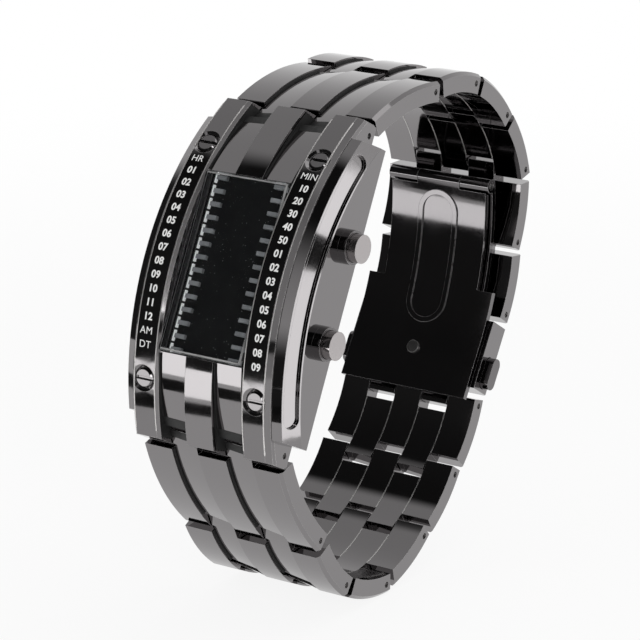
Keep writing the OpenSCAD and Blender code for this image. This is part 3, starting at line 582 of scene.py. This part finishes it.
class Finish(Enum):
    """The watch's finishes."""

    GUN_METAL = Plating("gun_metal_plating", (0.225, 0.216, 0.219), (0.4, 0.39, 0.39), 0.04, 0.08)
    PLATE = Plating("number_plate_plating", (0.2, 0.192, 0.195), (0.5, 0.48, 0.48), 0.05, 0.1,
                    rub=0.8, rub_reach=0.2 * MM)
    TRIM = Plating("dark_trim_plating", (0.165, 0.158, 0.161), (0.4, 0.39, 0.39), 0.05, 0.1)
    BUTTON = Plating("button_cap_plating", (0.43, 0.405, 0.405), (0.56, 0.54, 0.54), 0.1, 0.16)
    STEEL = Plating("bare_steel", (0.52, 0.51, 0.5), (0.62, 0.61, 0.6), 0.18, 0.3, lines=1.0)
    # Bright metal for the plates' edge lines, a painted highlight.
    RUBBED = Plating("plate_edge_painted_highlight", (0.74, 0.72, 0.71), (0.82, 0.8, 0.79), 0.45, 0.6, lines=1.0)
    CRYSTAL = Glass("crystal_glass", (0.94, 0.96, 0.97))
    RUBBER = Moulding("gasket_rubber", (0.035, 0.035, 0.036), (0.06, 0.06, 0.061), 0.55, 0.75, dust=0.3)
    BOARD = Moulding("black_board_lacquer", (0.006, 0.006, 0.007), (0.011, 0.011, 0.012), 0.3, 0.45,
                     dust=0.14)
    LIGHTS = Moulding("unlit_light_resin", (0.34, 0.345, 0.355), (0.42, 0.425, 0.435), 0.35, 0.5)
    # Black for painted shade: the seams at the foot of the steps, the dark strip ends and the dark strip
    # walls.
    SEAM = Moulding("painted_shade_black", (0.008, 0.008, 0.008), (0.014, 0.014, 0.014), 0.5, 0.7)
    PAINT = Moulding("legend_paint", (0.86, 0.86, 0.85), (0.8, 0.8, 0.79), 0.4, 0.55, grain=0.004 * MM)
    # Pale grey for the crystal's rim, a painted highlight.
    GROUND = Moulding("crystal_edge_painted_highlight", (0.3, 0.3, 0.3), (0.2, 0.2, 0.2), 0.3, 0.5)
    # The light guide's glow is painted light, not a lamp.
    GUIDE = Moulding("light_guide_painted_glow", (0.92, 0.92, 0.91), (0.86, 0.86, 0.85), 0.35, 0.5, glow=0.3)


class FinishRack:
    """Makes each finish once and puts it on pieces."""

    def __init__(self) -> None:
        """Starts with the shared effects and no materials."""
        self.shelf = EffectShelf()
        self.made: dict[Finish, Material] = {}

    def coat(self, piece: Object, finish: Finish) -> None:
        """Puts a finish on all of a piece.

        Args:
            piece: The piece to dress.
            finish: What it gets.
        """
        if finish not in self.made:
            self.made[finish] = finish.value.build(self.shelf)
        if not piece.material_slots:
            piece.data.materials.append(None)
        for slot in piece.material_slots:
            slot.material = self.made[finish]


@dataclass
class SolidPieces:
    """Dresses the solid pieces of the watch."""

    rack: FinishRack

    @staticmethod
    def finishes() -> dict[str, Finish]:
        """Lists the finish of every solid piece.

        Returns:
            The finishes by the pieces' names.
        """
        chosen: dict[str, Finish] = {}
        groups: dict[Finish, Sequence[str]] = {
            Finish.GUN_METAL: ("case_body", "side_rail_left", "side_rail_right", "back_cover", "clasp_cover"),
            Finish.BUTTON: ("button_upper", "button_lower"),
            Finish.PLATE: ("hour_plate", "minute_plate"),
            Finish.TRIM: ("plate_screws", "collar_upper", "collar_lower", "clasp_blade", "clasp_leaf",
                          "catch_button_left", "catch_button_right"),
            Finish.STEEL: ("coin_cell", "cell_clip", "button_spring_upper", "button_spring_lower",
                           "button_clip_upper", "button_clip_lower", "clasp_rivet", "clasp_spring",
                           "leaf_pin"),
            Finish.CRYSTAL: ("crystal",),
            Finish.RUBBER: ("crystal_gasket", "back_gasket"),
            Finish.BOARD: ("light_board",),
            Finish.LIGHTS: ("hour_lights", "minute_lights"),
        }
        for finish, names in groups.items():
            chosen.update(dict.fromkeys(names, finish))
        for half in Half:
            chosen.update({half.link(number): Finish.GUN_METAL for number in range(1, LINKS + 1)})
            chosen.update({half.pin(number): Finish.STEEL for number in range(1, LINKS + 2)})
        return chosen

    def dress(self, nodes: Mapping[str, Object]) -> None:
        """Coats every solid piece.

        Args:
            nodes: The solid pieces by name.
        """
        chosen = self.finishes()
        for name, node in nodes.items():
            self.rack.coat(node, chosen[name])
            LOG.info("solid %s: %s", name, chosen[name].value.name)


def place_mesh(name: str, build: BMesh) -> Object:
    """Puts a working mesh in the scene.

    Args:
        name: The object's name.
        build: Its mesh, which is used up.

    Returns:
        The new object.
    """
    mesh = bpy.data.meshes.new(name)
    build.to_mesh(mesh)
    build.free()
    item = bpy.data.objects.new(name, mesh)
    bpy.context.scene.collection.objects.link(item)
    return item


@dataclass
class Trim:
    """Thin pieces that are printed or laid on the solids."""

    rack: FinishRack

    def lay(self, build: BMesh, name: str, body: str, finish: Finish) -> None:
        """Turns a working mesh into a dressed piece that moves with a body.

        Args:
            build: The mesh, which is used up.
            name: The piece's name.
            body: The body that carries it.
            finish: Its finish.
        """
        bmesh.ops.recalc_face_normals(build, faces=build.faces)
        piece = place_mesh(name, build)
        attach(piece, body)
        self.rack.coat(piece, finish)
        LOG.info("piece %s on %s: %s", name, body, finish.value.name)

    @staticmethod
    def bridge(build: BMesh, rings: Sequence[Sequence[BMVert]]) -> None:
        """Joins each ring of corners to the next one by faces.

        Args:
            build: The mesh to add to.
            rings: The rings in order, all with as many corners.
        """
        for here, there in zip(rings, rings[1:]):
            for corner in range(len(here)):
                before = corner - 1
                build.faces.new((here[before], here[corner], there[corner], there[before]))


@dataclass
class DialLegends(Trim):
    """Printed numbers and words along the two arched plates."""

    column: float = 9.65 * MM
    first: float = 15.07 * MM
    pitch: float = 2.019 * MM
    size: float = 1.5 * MM
    number_weight: float = 0.03
    letter_weight: float = 0.0
    spacing: float = 1.04
    curve_steps: int = 5
    ink: float = 0.02 * MM

    @staticmethod
    def hours() -> list[str]:
        """Words of the hour plate from the top down."""
        return ["HR"] + [f"{n:02d}" for n in range(1, 13)] + ["AM", "DT"]

    @staticmethod
    def minutes() -> list[str]:
        """Words of the minute plate from the top down."""
        return ["MIN"] + [str(n) for n in range(10, 60, 10)] + [f"{n:02d}" for n in range(1, 10)]

    def flat_word(self, word: str) -> Mesh:
        """Sets a word as a flat mesh of the print's thickness.

        Args:
            word: What to set.

        Returns:
            A mesh with the word centred on the origin, facing up, with letters of size 1.
        """
        setting = bpy.data.curves.new("legend_setting", "FONT")
        setting.body = word
        setting.size = 1.0
        setting.align_x = "CENTER"
        setting.align_y = "CENTER"
        setting.offset = self.number_weight if word.isdigit() else self.letter_weight
        setting.extrude = self.ink / self.size
        setting.space_character = self.spacing
        setting.resolution_u = self.curve_steps
        holder = bpy.data.objects.new("legend_setting", setting)
        bpy.context.scene.collection.objects.link(holder)
        bpy.context.view_layer.update()
        shaped = holder.evaluated_get(bpy.context.evaluated_depsgraph_get())
        mesh = bpy.data.meshes.new_from_object(shaped)
        bpy.data.objects.remove(holder)
        bpy.data.curves.remove(setting)
        return mesh

    def column_mesh(self, words: Sequence[str], across: float) -> BMesh:
        """Bends a column of words onto the arch.

        Args:
            words: The words from the top down.
            across: Where the column's middle lies.

        Returns:
            One working mesh with all the words.
        """
        build = bmesh.new()
        for row, word in enumerate(words):
            flat = self.flat_word(word)
            middle = self.first - row * self.pitch
            before = len(build.verts)
            build.from_mesh(flat)
            build.verts.ensure_lookup_table()
            for vertex in build.verts[before:]:
                x, y, z = (self.size * part for part in vertex.co)
                angle = (middle + y) / STANCE.arch
                vertex.co = STANCE.on_arc(across + x, STANCE.arch_axis, STANCE.arch + z, angle)
            bpy.data.meshes.remove(flat)
        return build

    def build(self) -> None:
        """Prints both columns."""
        self.lay(self.column_mesh(self.hours(), -self.column), "hour_legends", "case", Finish.PAINT)
        self.lay(self.column_mesh(self.minutes(), self.column), "minute_legends", "case", Finish.PAINT)


@dataclass
class LightGuide(Trim):
    """White comb along the hour lights, seen through the crystal's edge, with a painted glow."""

    across: float = -6.1 * MM
    front: float = 0.35 * MM
    back: float = 0.7 * MM
    width: float = 0.34 * MM
    rows: int = 14
    pitch: float = 1.95 * MM
    gap: float = 0.34 * MM
    rounding: float = 0.03 * MM
    rounding_steps: int = 2

    def build(self) -> None:
        """Makes the comb's teeth as small bars with eased edges."""
        build = bmesh.new()
        tooth = Vector((self.width, self.back - self.front, self.pitch - self.gap))
        for row in range(self.rows):
            height = (row - (self.rows - 1) / 2) * self.pitch
            middle = Vector((self.across, (self.front + self.back) / 2, height))
            for vertex in bmesh.ops.create_cube(build, size=1.0)["verts"]:
                vertex.co = middle + vertex.co * tooth
        bmesh.ops.bevel(build, geom=list(build.edges), offset=self.rounding, segments=self.rounding_steps,
                        affect="EDGES")
        for vertex in build.verts:
            vertex.co = STANCE.place(*vertex.co)
        self.lay(build, "light_guide", "case", Finish.GUIDE)


@dataclass
class CrystalEdge(Trim):
    """Pale rim along the bevel of the crystal, a painted highlight."""

    half_width: float = 6.7 * MM
    half_height: float = 12.85 * MM
    front: float = -1.8 * MM
    start: float = 0.06 * MM
    end: float = 0.27 * MM
    proud: float = 0.012 * MM
    sunk: float = 0.03 * MM

    def section(self) -> list[Span]:
        """Lists the rim's corners as distances out along the bevel and behind the front face."""
        return [(self.start, self.start - self.proud), (self.end, self.end - self.proud),
                (self.end, self.end + self.sunk), (self.start, self.start + self.sunk)]

    def corner(self, side: int, end: int) -> list[Vector]:
        """Places the rim's section at a corner of the crystal.

        Args:
            side: Which side of the crystal, -1 or 1.
            end: Which end of the crystal, -1 or 1.

        Returns:
            The section's points.
        """
        return [
            STANCE.place(side * (self.half_width + out), self.front + back, end * (self.half_height + out))
            for out, back in self.section()
        ]

    def build(self) -> None:
        """Makes the rim as a mitred frame."""
        build = bmesh.new()
        corners = [self.corner(side, end) for side, end in ((-1, -1), (1, -1), (1, 1), (-1, 1))]
        rings = [[build.verts.new(point) for point in corner] for corner in corners]
        self.bridge(build, rings + rings[:1])
        self.lay(build, "crystal_rim_painted_highlight", "case", Finish.GROUND)


@dataclass
class StripTrim(Trim):
    """Slim bars along the five strips. The second and the fourth slant up from their first side."""

    strips: int = 5
    strip: float = 4.8 * MM
    sunk: float = 0.08 * MM
    proud: float = 0.03 * MM
    seam_width: float = 0.16 * MM
    seam_height: float = 0.3 * MM
    cuts: int = 24

    def borders(self) -> list[float]:
        """Lists where the strips meet, from the hour side on."""
        return [(place - self.strips / 2) * self.strip for place in range(1, self.strips)]

    def low_sides(self) -> list[float]:
        """Lists where the slanted strips begin, at their low side."""
        return self.borders()[::2]

    @staticmethod
    def centred(middle: float, width: float) -> Span:
        """Gives the two sides of a bar by its middle."""
        return middle - width / 2, middle + width / 2

    @staticmethod
    def about(axis: float) -> ArcSpot:
        """Gives the points of an arc of the dial by angle and radius."""
        return lambda angle, radius: STANCE.on_arc(0.0, axis, radius, angle)

    def arc_bar(self, build: BMesh, spot: ArcSpot, across: Span, radii: Span, angles: Span,
                rise: float = 0.0) -> None:
        """Adds a slim bar that follows an arc.

        Args:
            build: The mesh to add to.
            spot: Gives a point in the middle plane by angle and radius.
            across: The bar's two sides.
            radii: Its inner and outer radius.
            angles: Where it starts and ends.
            rise: How much higher its second side lies.
        """
        rings = []
        for cut in range(self.cuts + 1):
            angle = angles[0] + (angles[1] - angles[0]) * cut / self.cuts
            ring = []
            for side, radius in ((0, 0), (1, 0), (1, 1), (0, 1)):
                point = spot(angle, radii[radius] + rise * side)
                ring.append(build.verts.new((across[side], point.y, point.z)))
            rings.append(ring)
        self.bridge(build, rings)
        build.faces.new(rings[0][::-1])
        build.faces.new(rings[-1])


@dataclass
class CaseSeams(StripTrim):
    """Painted shade at both ends of the case: shaded seams, dark strip ends and dark walls.

    The slanted strips dip along an arc of their own, and the walls are the sides of the strips beside them.
    The seams stop at dip_end, and the strips at dip_last, after a stretch of painted shade as long as shade.
    """

    dip_radius: float = 36.33 * MM
    dip_axis: float = 32.87 * MM
    dip_start: float = math.radians(22.0)
    dip_end: float = math.radians(38.8)
    dip_last: float = math.radians(39.4)
    dip_rise: float = 0.35 * MM
    shade: float = 1.4 * MM
    wall_low: float = 40.5 * MM
    wall_high: float = 43.0 * MM
    wall_thick: float = 0.04 * MM
    wall_start: float = math.radians(18.6)
    wall_end_low: float = math.radians(37.6)
    wall_end_high: float = math.radians(35.7)
    wall_bands: int = 4

    def seam(self, build: BMesh, foot: float, end: int) -> None:
        """Lays a black seam of painted shade along a slanted strip and paints shade over the strip's end.

        Args:
            build: The mesh to add to.
            foot: Where the strip begins across the band.
            end: Which end of the case, -1 or 1.
        """
        dip = self.about(self.dip_axis)
        floor = self.dip_radius - self.sunk
        self.arc_bar(build, dip, (foot, foot + self.seam_width), (floor, self.dip_radius + self.seam_height),
                     (end * self.dip_start, end * self.dip_end))
        # The strip's last stretch is covered with painted shade.
        shade_start = self.dip_last - self.shade / self.dip_radius
        self.arc_bar(build, dip, (foot, foot + self.strip), (floor, self.dip_radius + self.proud),
                     (end * shade_start, end * self.dip_last), self.dip_rise)

    def wall(self, build: BMesh, foot: float, end: int) -> None:
        """Lines the side of a raised strip with painted shade, in bands that stop at the strip's slanted end.

        Args:
            build: The mesh to add to.
            foot: Where the side stands across the band.
            end: Which end of the case, -1 or 1.
        """
        height = (self.wall_high - self.wall_low) / self.wall_bands
        slant = (self.wall_end_high - self.wall_end_low) / self.wall_bands
        for band in range(self.wall_bands):
            low = self.wall_low + band * height
            stop = self.wall_end_low + (band + 1) * slant
            self.arc_bar(build, self.about(STANCE.arch_axis), (foot, foot + self.wall_thick),
                         (low, low + height), (end * self.wall_start, end * stop))

    def build(self) -> None:
        """Lays the painted shade of both ends: seams, strip ends and walls."""
        build = bmesh.new()
        for end in (-1, 1):
            for foot in self.low_sides():
                self.seam(build, foot, end)
                self.wall(build, foot, end)
        self.lay(build, "case_shaded_seams", "case", Finish.SEAM)


@dataclass
class PlateLines(StripTrim):
    """Bright lines along the edges of the number plates, painted highlights."""

    inner: float = 7.65 * MM
    outer: float = 11.25 * MM
    width: float = 0.15 * MM
    end: float = math.radians(34.0)

    def build(self) -> None:
        """Lays the lines of both plates."""
        radii = (STANCE.arch - self.width, STANCE.arch + self.proud / 2)
        for name, places in (("hour_plate_lines", (-self.outer, -self.inner)),
                             ("minute_plate_lines", (self.inner, self.outer))):
            build = bmesh.new()
            for place in places:
                self.arc_bar(build, self.about(STANCE.arch_axis), self.centred(place, self.width), radii,
                             (-self.end, self.end))
            self.lay(build, name, "case", Finish.RUBBED)


@dataclass(frozen=True)
class Bow:
    """The arc that a link follows from pin to pin."""

    axis: Vector
    out: Vector
    along: Vector
    radius: float
    turn: float

    @classmethod
    def between(cls, start: Vector, end: Vector, radius: float) -> "Bow":
        """Finds the arc between two pins that bends away from the wrist.

        Args:
            start: Middle of the first pin.
            end: Middle of the second pin.
            radius: The arc's radius.

        Returns:
            The arc.
        """
        along = (end - start).normalized()
        middle = (start + end) / 2
        out = Vector((0.0, -along.z, along.y))
        out *= math.copysign(1.0, out.dot(middle))
        turn = math.asin((end - start).length / 2 / radius)
        return cls(middle - out * radius * math.cos(turn), out, along, radius, turn)

    def spot(self, angle: float, radius: float) -> Vector:
        """Gives a point in the middle plane by angle and radius."""
        return self.axis + radius * (self.out * math.cos(angle) + self.along * math.sin(angle))


@dataclass
class LinkSeams(StripTrim):
    """Black seams of painted shade outside and bright lines of painted highlight inside the links, with
    painted shade on their ends where they meet the case.

    A dark end reaches from shade_back before the first pin to shade_front past it.
    """

    thick: float = 3.0 * MM
    step: float = 0.6 * MM
    bow: float = 22.5 * MM
    first_bow: float = 33.5 * MM
    end_gap: float = 2.2 * MM
    line_width: float = 0.16 * MM
    shade_back: float = 0.9 * MM
    shade_front: float = 0.25 * MM
    shade_inset: float = 0.1 * MM

    @staticmethod
    def pin_middle(node: str) -> Vector:
        """Gives the middle of a pin."""
        low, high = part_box(node)
        return (low + high) / 2

    def seams(self, bow: Bow, reach: Span, first: bool) -> BMesh:
        """Makes the black seams of painted shade along a link's slanted strips, and painted shade over a
        first link's end.

        Args:
            bow: The link's arc.
            reach: Angles where the seams start and end.
            first: Whether the link meets the case.

        Returns:
            The working mesh.
        """
        build = bmesh.new()
        foot = bow.radius + self.thick / 2 - self.step
        shade_reach = (-bow.turn - self.shade_back / bow.radius, -bow.turn + self.shade_front / bow.radius)
        for low_side in self.low_sides():
            self.arc_bar(build, bow.spot, (low_side, low_side + self.seam_width),
                         (foot - self.sunk, foot + self.seam_height), reach)
            if first:
                # A first link's slanted strip gets painted shade over its end by the case.
                sides = (low_side + self.shade_inset, low_side + self.strip - self.shade_inset)
                self.arc_bar(build, bow.spot, sides, (foot - self.sunk, foot + self.proud), shade_reach,
                             self.step)
        return build

    def inner_lines(self, bow: Bow, reach: Span) -> BMesh:
        """Makes the bright lines between the strips on a link's inner face, painted highlights.

        Args:
            bow: The link's arc.
            reach: Angles where the lines start and end.

        Returns:
            The working mesh.
        """
        build = bmesh.new()
        inside = bow.radius - self.thick / 2
        for border in self.borders():
            self.arc_bar(build, bow.spot, self.centred(border, self.line_width),
                         (inside - self.proud, inside + self.sunk), reach)
        return build

    def build(self) -> None:
        """Lays the painted shade of the seams and ends and the painted highlight lines of every link."""
        for half in Half:
            for number in range(1, LINKS + 1):
                radius = self.first_bow if number == 1 else self.bow
                pins = [self.pin_middle(half.pin(place)) for place in (number, number + 1)]
                bow = Bow.between(*pins, radius)
                reach = bow.turn - self.end_gap / radius
                link = half.link(number)
                self.lay(self.seams(bow, (-reach, reach), number == 1), f"{link}_seams", link, Finish.SEAM)
                # Steel makes the inner lines bright: painted highlights.
                self.lay(self.inner_lines(bow, (-reach, reach)), f"{link}_inner_lines", link, Finish.STEEL)


@dataclass
class Surround:
    """White surroundings, with the dark parts of a room that the metal mirrors.

    The spans are shares of a direction along one axis: X to the right, Y to the back and Z up.
    """

    fill: float = 0.65
    zenith: float = 0.55
    zenith_span: Span = (0.25, 0.9)
    darkness: float = 0.97
    front_span: Span = (-0.2, -0.06)
    side_span: Span = (0.62, 0.8)
    side_share: float = 0.4
    glimmer_at: float = 0.1
    glimmer_span: Span = (0.06, 0.16)
    glimmer_share: float = 0.75
    glimmer_foot: Span = (0.06, 0.3)
    glimmer_top: Span = (0.55, 0.85)
    left_span: Span = (-0.9, -0.8)
    left_depth: Span = (0.05, 0.2)
    skyline_at: float = 0.029
    skyline_span: Span = (0.028, 0.034)
    skyline_side: Span = (0.6, 0.8)

    def dark_parts(self, graph: Graph, way: Mapping[str, NodeSocket]) -> NodeSocket:
        """Draws the room before the dial with a glimmer in it, its far left and a low skyline at the right.

        Args:
            graph: The surround's graph.
            way: The direction's sockets by axis.

        Returns:
            The socket of how dark a direction is.
        """
        front = graph.ramp(way["Y"], self.front_span, FADE_OUT)
        side = graph.ramp(way["X"], self.side_span, (1.0, self.side_share))
        glimmer = graph.ramp(graph.distance(way["X"], self.glimmer_at), self.glimmer_span,
                             (self.glimmer_share, 0.0))
        glimmer = graph.times(glimmer, graph.ramp(way["Z"], self.glimmer_top, FADE_OUT))
        glimmer = graph.times(glimmer, graph.ramp(way["Z"], self.glimmer_foot))
        room = graph.times(front, graph.math("SUBTRACT", side, glimmer))
        far_left = graph.times(graph.ramp(way["X"], self.left_span, FADE_OUT),
                               graph.ramp(way["Y"], self.left_depth, FADE_OUT))
        skyline = graph.ramp(graph.distance(way["Z"], self.skyline_at), self.skyline_span, FADE_OUT)
        skyline = graph.times(skyline, graph.ramp(way["X"], self.skyline_side))
        return graph.math("MAXIMUM", graph.math("MAXIMUM", room, far_left), skyline)

    def build(self) -> None:
        """Makes the surround: white to the camera, an even fill for matt surfaces, the room in mirrors."""
        world = bpy.data.worlds.new("surround")
        world.use_nodes = True
        graph = Graph(world.node_tree)
        way = graph.add("SeparateXYZ", {"Vector": graph.add("TexCoord").outputs["Generated"]}).outputs
        dark = graph.times(self.dark_parts(graph, way), self.darkness)
        room = graph.times(graph.math("SUBTRACT", 1.0, dark),
                           graph.ramp(way["Z"], self.zenith_span, (1.0, self.zenith)))
        path = graph.add("LightPath").outputs
        mirrored = graph.math("MAXIMUM", path["Is Glossy Ray"], path["Is Transmission Ray"])
        mirrored = graph.times(mirrored, graph.math("LESS_THAN", path["Diffuse Depth"], 0.5))
        level = graph.add("Mix", {"Factor": mirrored, "A": self.fill, "B": room}).outputs["Result"]
        strength = graph.math("MAXIMUM", level, path["Is Camera Ray"])
        back = graph.add("Background", {"Color": rgba(WHITE), "Strength": strength})
        graph.add("OutputWorld", {"Surface": back.outputs["Background"]})
        bpy.context.scene.world = world


@dataclass(frozen=True)
class Card:
    """A black card on the floor, by its distances ahead of the dial and to its side."""

    name: str
    ahead: Span
    aside: Span

    def corners(self) -> list[Span]:
        """Lists the corners as distances ahead and aside."""
        (near, far), (left, right) = self.ahead, self.aside
        return [(near, left), (near, right), (far, right), (far, left)]


@dataclass(frozen=True)
class SoftBox:
    """A large soft lamp."""

    name: str
    spot: Point
    width: float
    height: float
    power: float
    aim: Point = (0.0, 0.0, 0.0)
    turn: float = 0.0

    def build(self) -> None:
        """Hangs the lamp, facing its aim."""
        lamp = bpy.data.lights.new(self.name, "AREA")
        lamp.shape = "RECTANGLE"
        lamp.size = self.width
        lamp.size_y = self.height
        lamp.energy = self.power
        holder = bpy.data.objects.new(self.name, lamp)
        holder.location = self.spot
        facing = (Vector(self.aim) - Vector(self.spot)).to_track_quat("-Z", "Y")
        holder.rotation_euler = (facing @ Quaternion((0.0, 0.0, 1.0), self.turn)).to_euler()
        holder.visible_camera = False
        bpy.context.scene.collection.objects.link(holder)
        LOG.info("lamp %s", self.name)


@dataclass
class Studio:
    """Pale floor, black cards and soft lamps."""

    level: float
    floor_reach: float = 0.38
    floor_sides: int = 96
    paper: Colour = (0.9, 0.9, 0.9)
    paper_rough: float = 0.9
    paper_shine: float = 0.1
    shadow_reach: float = 0.12
    shadow_glow: float = 0.88
    white_share: float = 0.9
    front_way: Point = (-0.5575, -0.8302, 0.0)
    felt: Colour = (0.01, 0.01, 0.01)
    card_rise: float = 1.0 * MM
    card_set: tuple[Card, ...] = (
        Card("dial_card", (0.115, 0.141), (-0.16, 0.16)),
        Card("rail_card", (0.09, 0.34), (0.09, 0.24)),
    )
    low_spot: Point = (-0.137, -0.203, -0.036)

    @staticmethod
    def stage_set(name: str, build: BMesh, material: Material) -> Object:
        """Puts a piece of the studio in the scene.

        Args:
            name: Its name.
            build: Its mesh, which is used up.
            material: Its material.

        Returns:
            The new object.
        """
        item = place_mesh(name, build)
        item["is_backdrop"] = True
        item.data.materials.append(material)
        LOG.info("stage %s", name)
        return item

    def floor_paper(self) -> Material:
        """Makes the floor's paper, which shows white toward its rim and keeps the shadow.

        Returns:
            The new material.
        """
        material, graph, shader = start_material("floor_paper")
        graph.fill(shader, {
            "Base Color": rgba(self.paper),
            "Roughness": self.paper_rough,
            "Specular IOR Level": self.paper_shine,
        })
        path = graph.add("LightPath").outputs
        mirrored = graph.math("MAXIMUM", path["Is Glossy Ray"], path["Is Transmission Ray"])
        seen = graph.math("MAXIMUM", path["Is Camera Ray"], mirrored)
        reach = graph.add("VectorMath", {0: graph.coords()}, operation="LENGTH").outputs["Value"]
        fade = (self.shadow_reach, self.white_share * self.floor_reach)
        share = graph.times(seen, graph.ramp(reach, fade, (self.shadow_glow, 1.0)))
        glow = graph.add("Emission", {"Color": rgba(WHITE), "Strength": 1.0})
        mix = graph.add("MixShader", {0: share, 1: shader.outputs["BSDF"], 2: glow.outputs["Emission"]})
        outlet = next(node for node in graph.tree.nodes if node.type == "OUTPUT_MATERIAL")
        graph.fill(outlet, {"Surface": mix.outputs["Shader"]})
        return material

    def floor(self) -> None:
        """Lays the floor."""
        build = bmesh.new()
        bmesh.ops.create_circle(build, cap_ends=True, segments=self.floor_sides, radius=self.floor_reach)
        bmesh.ops.translate(build, verts=build.verts, vec=(0.0, 0.0, self.level))
        self.stage_set("floor", build, self.floor_paper())

    def cards(self) -> None:
        """Lays the black cards before the dial, which only the metal mirrors."""
        ahead = Vector(self.front_way)
        aside = Vector((-ahead.y, ahead.x, 0.0))
        rise = Vector((0.0, 0.0, self.level + self.card_rise))
        material, graph, shader = start_material("black_card_felt")
        graph.fill(shader, {"Base Color": rgba(self.felt), "Roughness": 1.0})
        for card in self.card_set:
            build = bmesh.new()
            corners = [ahead * reach + aside * hand + rise for reach, hand in card.corners()]
            build.faces.new([build.verts.new(corner) for corner in corners])
            item = self.stage_set(card.name, build, material)
            for sight in ("camera", "diffuse", "shadow", "transmission"):
                setattr(item, f"visible_{sight}", False)

    def lamps(self) -> None:
        """Hangs the soft lamps."""
        above = (self.low_spot[0], self.low_spot[1], 1.0)
        heading = math.atan2(-self.front_way[0], -self.front_way[1])
        for lamp in (
            SoftBox("top_box", (0.12, 0.3, 0.75), width=0.6, height=0.6, power=1.0),
            SoftBox("right_box", (0.65, 0.29, 0.103), width=0.3, height=0.08, power=0.14,
                    aim=(0.0, 0.0, 0.01)),
            SoftBox("low_right_box", (0.142, 0.025, -0.0115), width=0.1, height=0.116, power=0.064,
                    aim=(-0.312, 0.025, 0.8795)),
            SoftBox("edge_box", (0.49, -0.434, 0.245), width=0.1, height=0.35, power=0.66),
            SoftBox("front_box", self.low_spot, width=0.17, height=0.2, power=0.22, aim=above, turn=heading),
        ):
            lamp.build()

    def build(self) -> None:
        """Sets up the studio."""
        self.floor()
        self.cards()
        self.lamps()


@dataclass(frozen=True)
class Viewpoint:
    """The photograph's viewing angle."""

    spot: Point = (0.24360, -0.36445, 0.13353)
    aim: Point = (0.0020165, -0.0082390, 0.0021819)
    lens: float = 172.125
    film: float = 36.0
    nearest: float = 0.01
    farthest: float = 20.0

    def build(self) -> None:
        """Sets up the camera."""
        camera = bpy.data.cameras.new("viewpoint")
        camera.sensor_width = self.film
        camera.lens = self.lens
        camera.clip_start = self.nearest
        camera.clip_end = self.farthest
        holder = bpy.data.objects.new("viewpoint", camera)
        holder.location = self.spot
        holder.rotation_mode = "QUATERNION"
        holder.rotation_quaternion = (Vector(self.aim) - Vector(self.spot)).to_track_quat("-Z", "Y")
        bpy.context.scene.collection.objects.link(holder)
        bpy.context.scene.camera = holder


def main() -> None:
    """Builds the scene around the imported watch."""
    logging.basicConfig(level=logging.INFO, format="%(name)s: %(message)s")
    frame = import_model()
    solid_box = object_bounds()
    bpy.context.scene.view_settings.view_transform = "Standard"
    rack = FinishRack()
    Viewpoint().build()
    SolidPieces(rack).dress(frame["nodes"])
    DialLegends(rack).build()
    LightGuide(rack).build()
    CrystalEdge(rack).build()
    CaseSeams(rack).build()
    PlateLines(rack).build()
    LinkSeams(rack).build()
    Surround().build()
    Studio(solid_box[0].z - FLOOR_GAP).build()


if __name__ == "__main__":
    main()
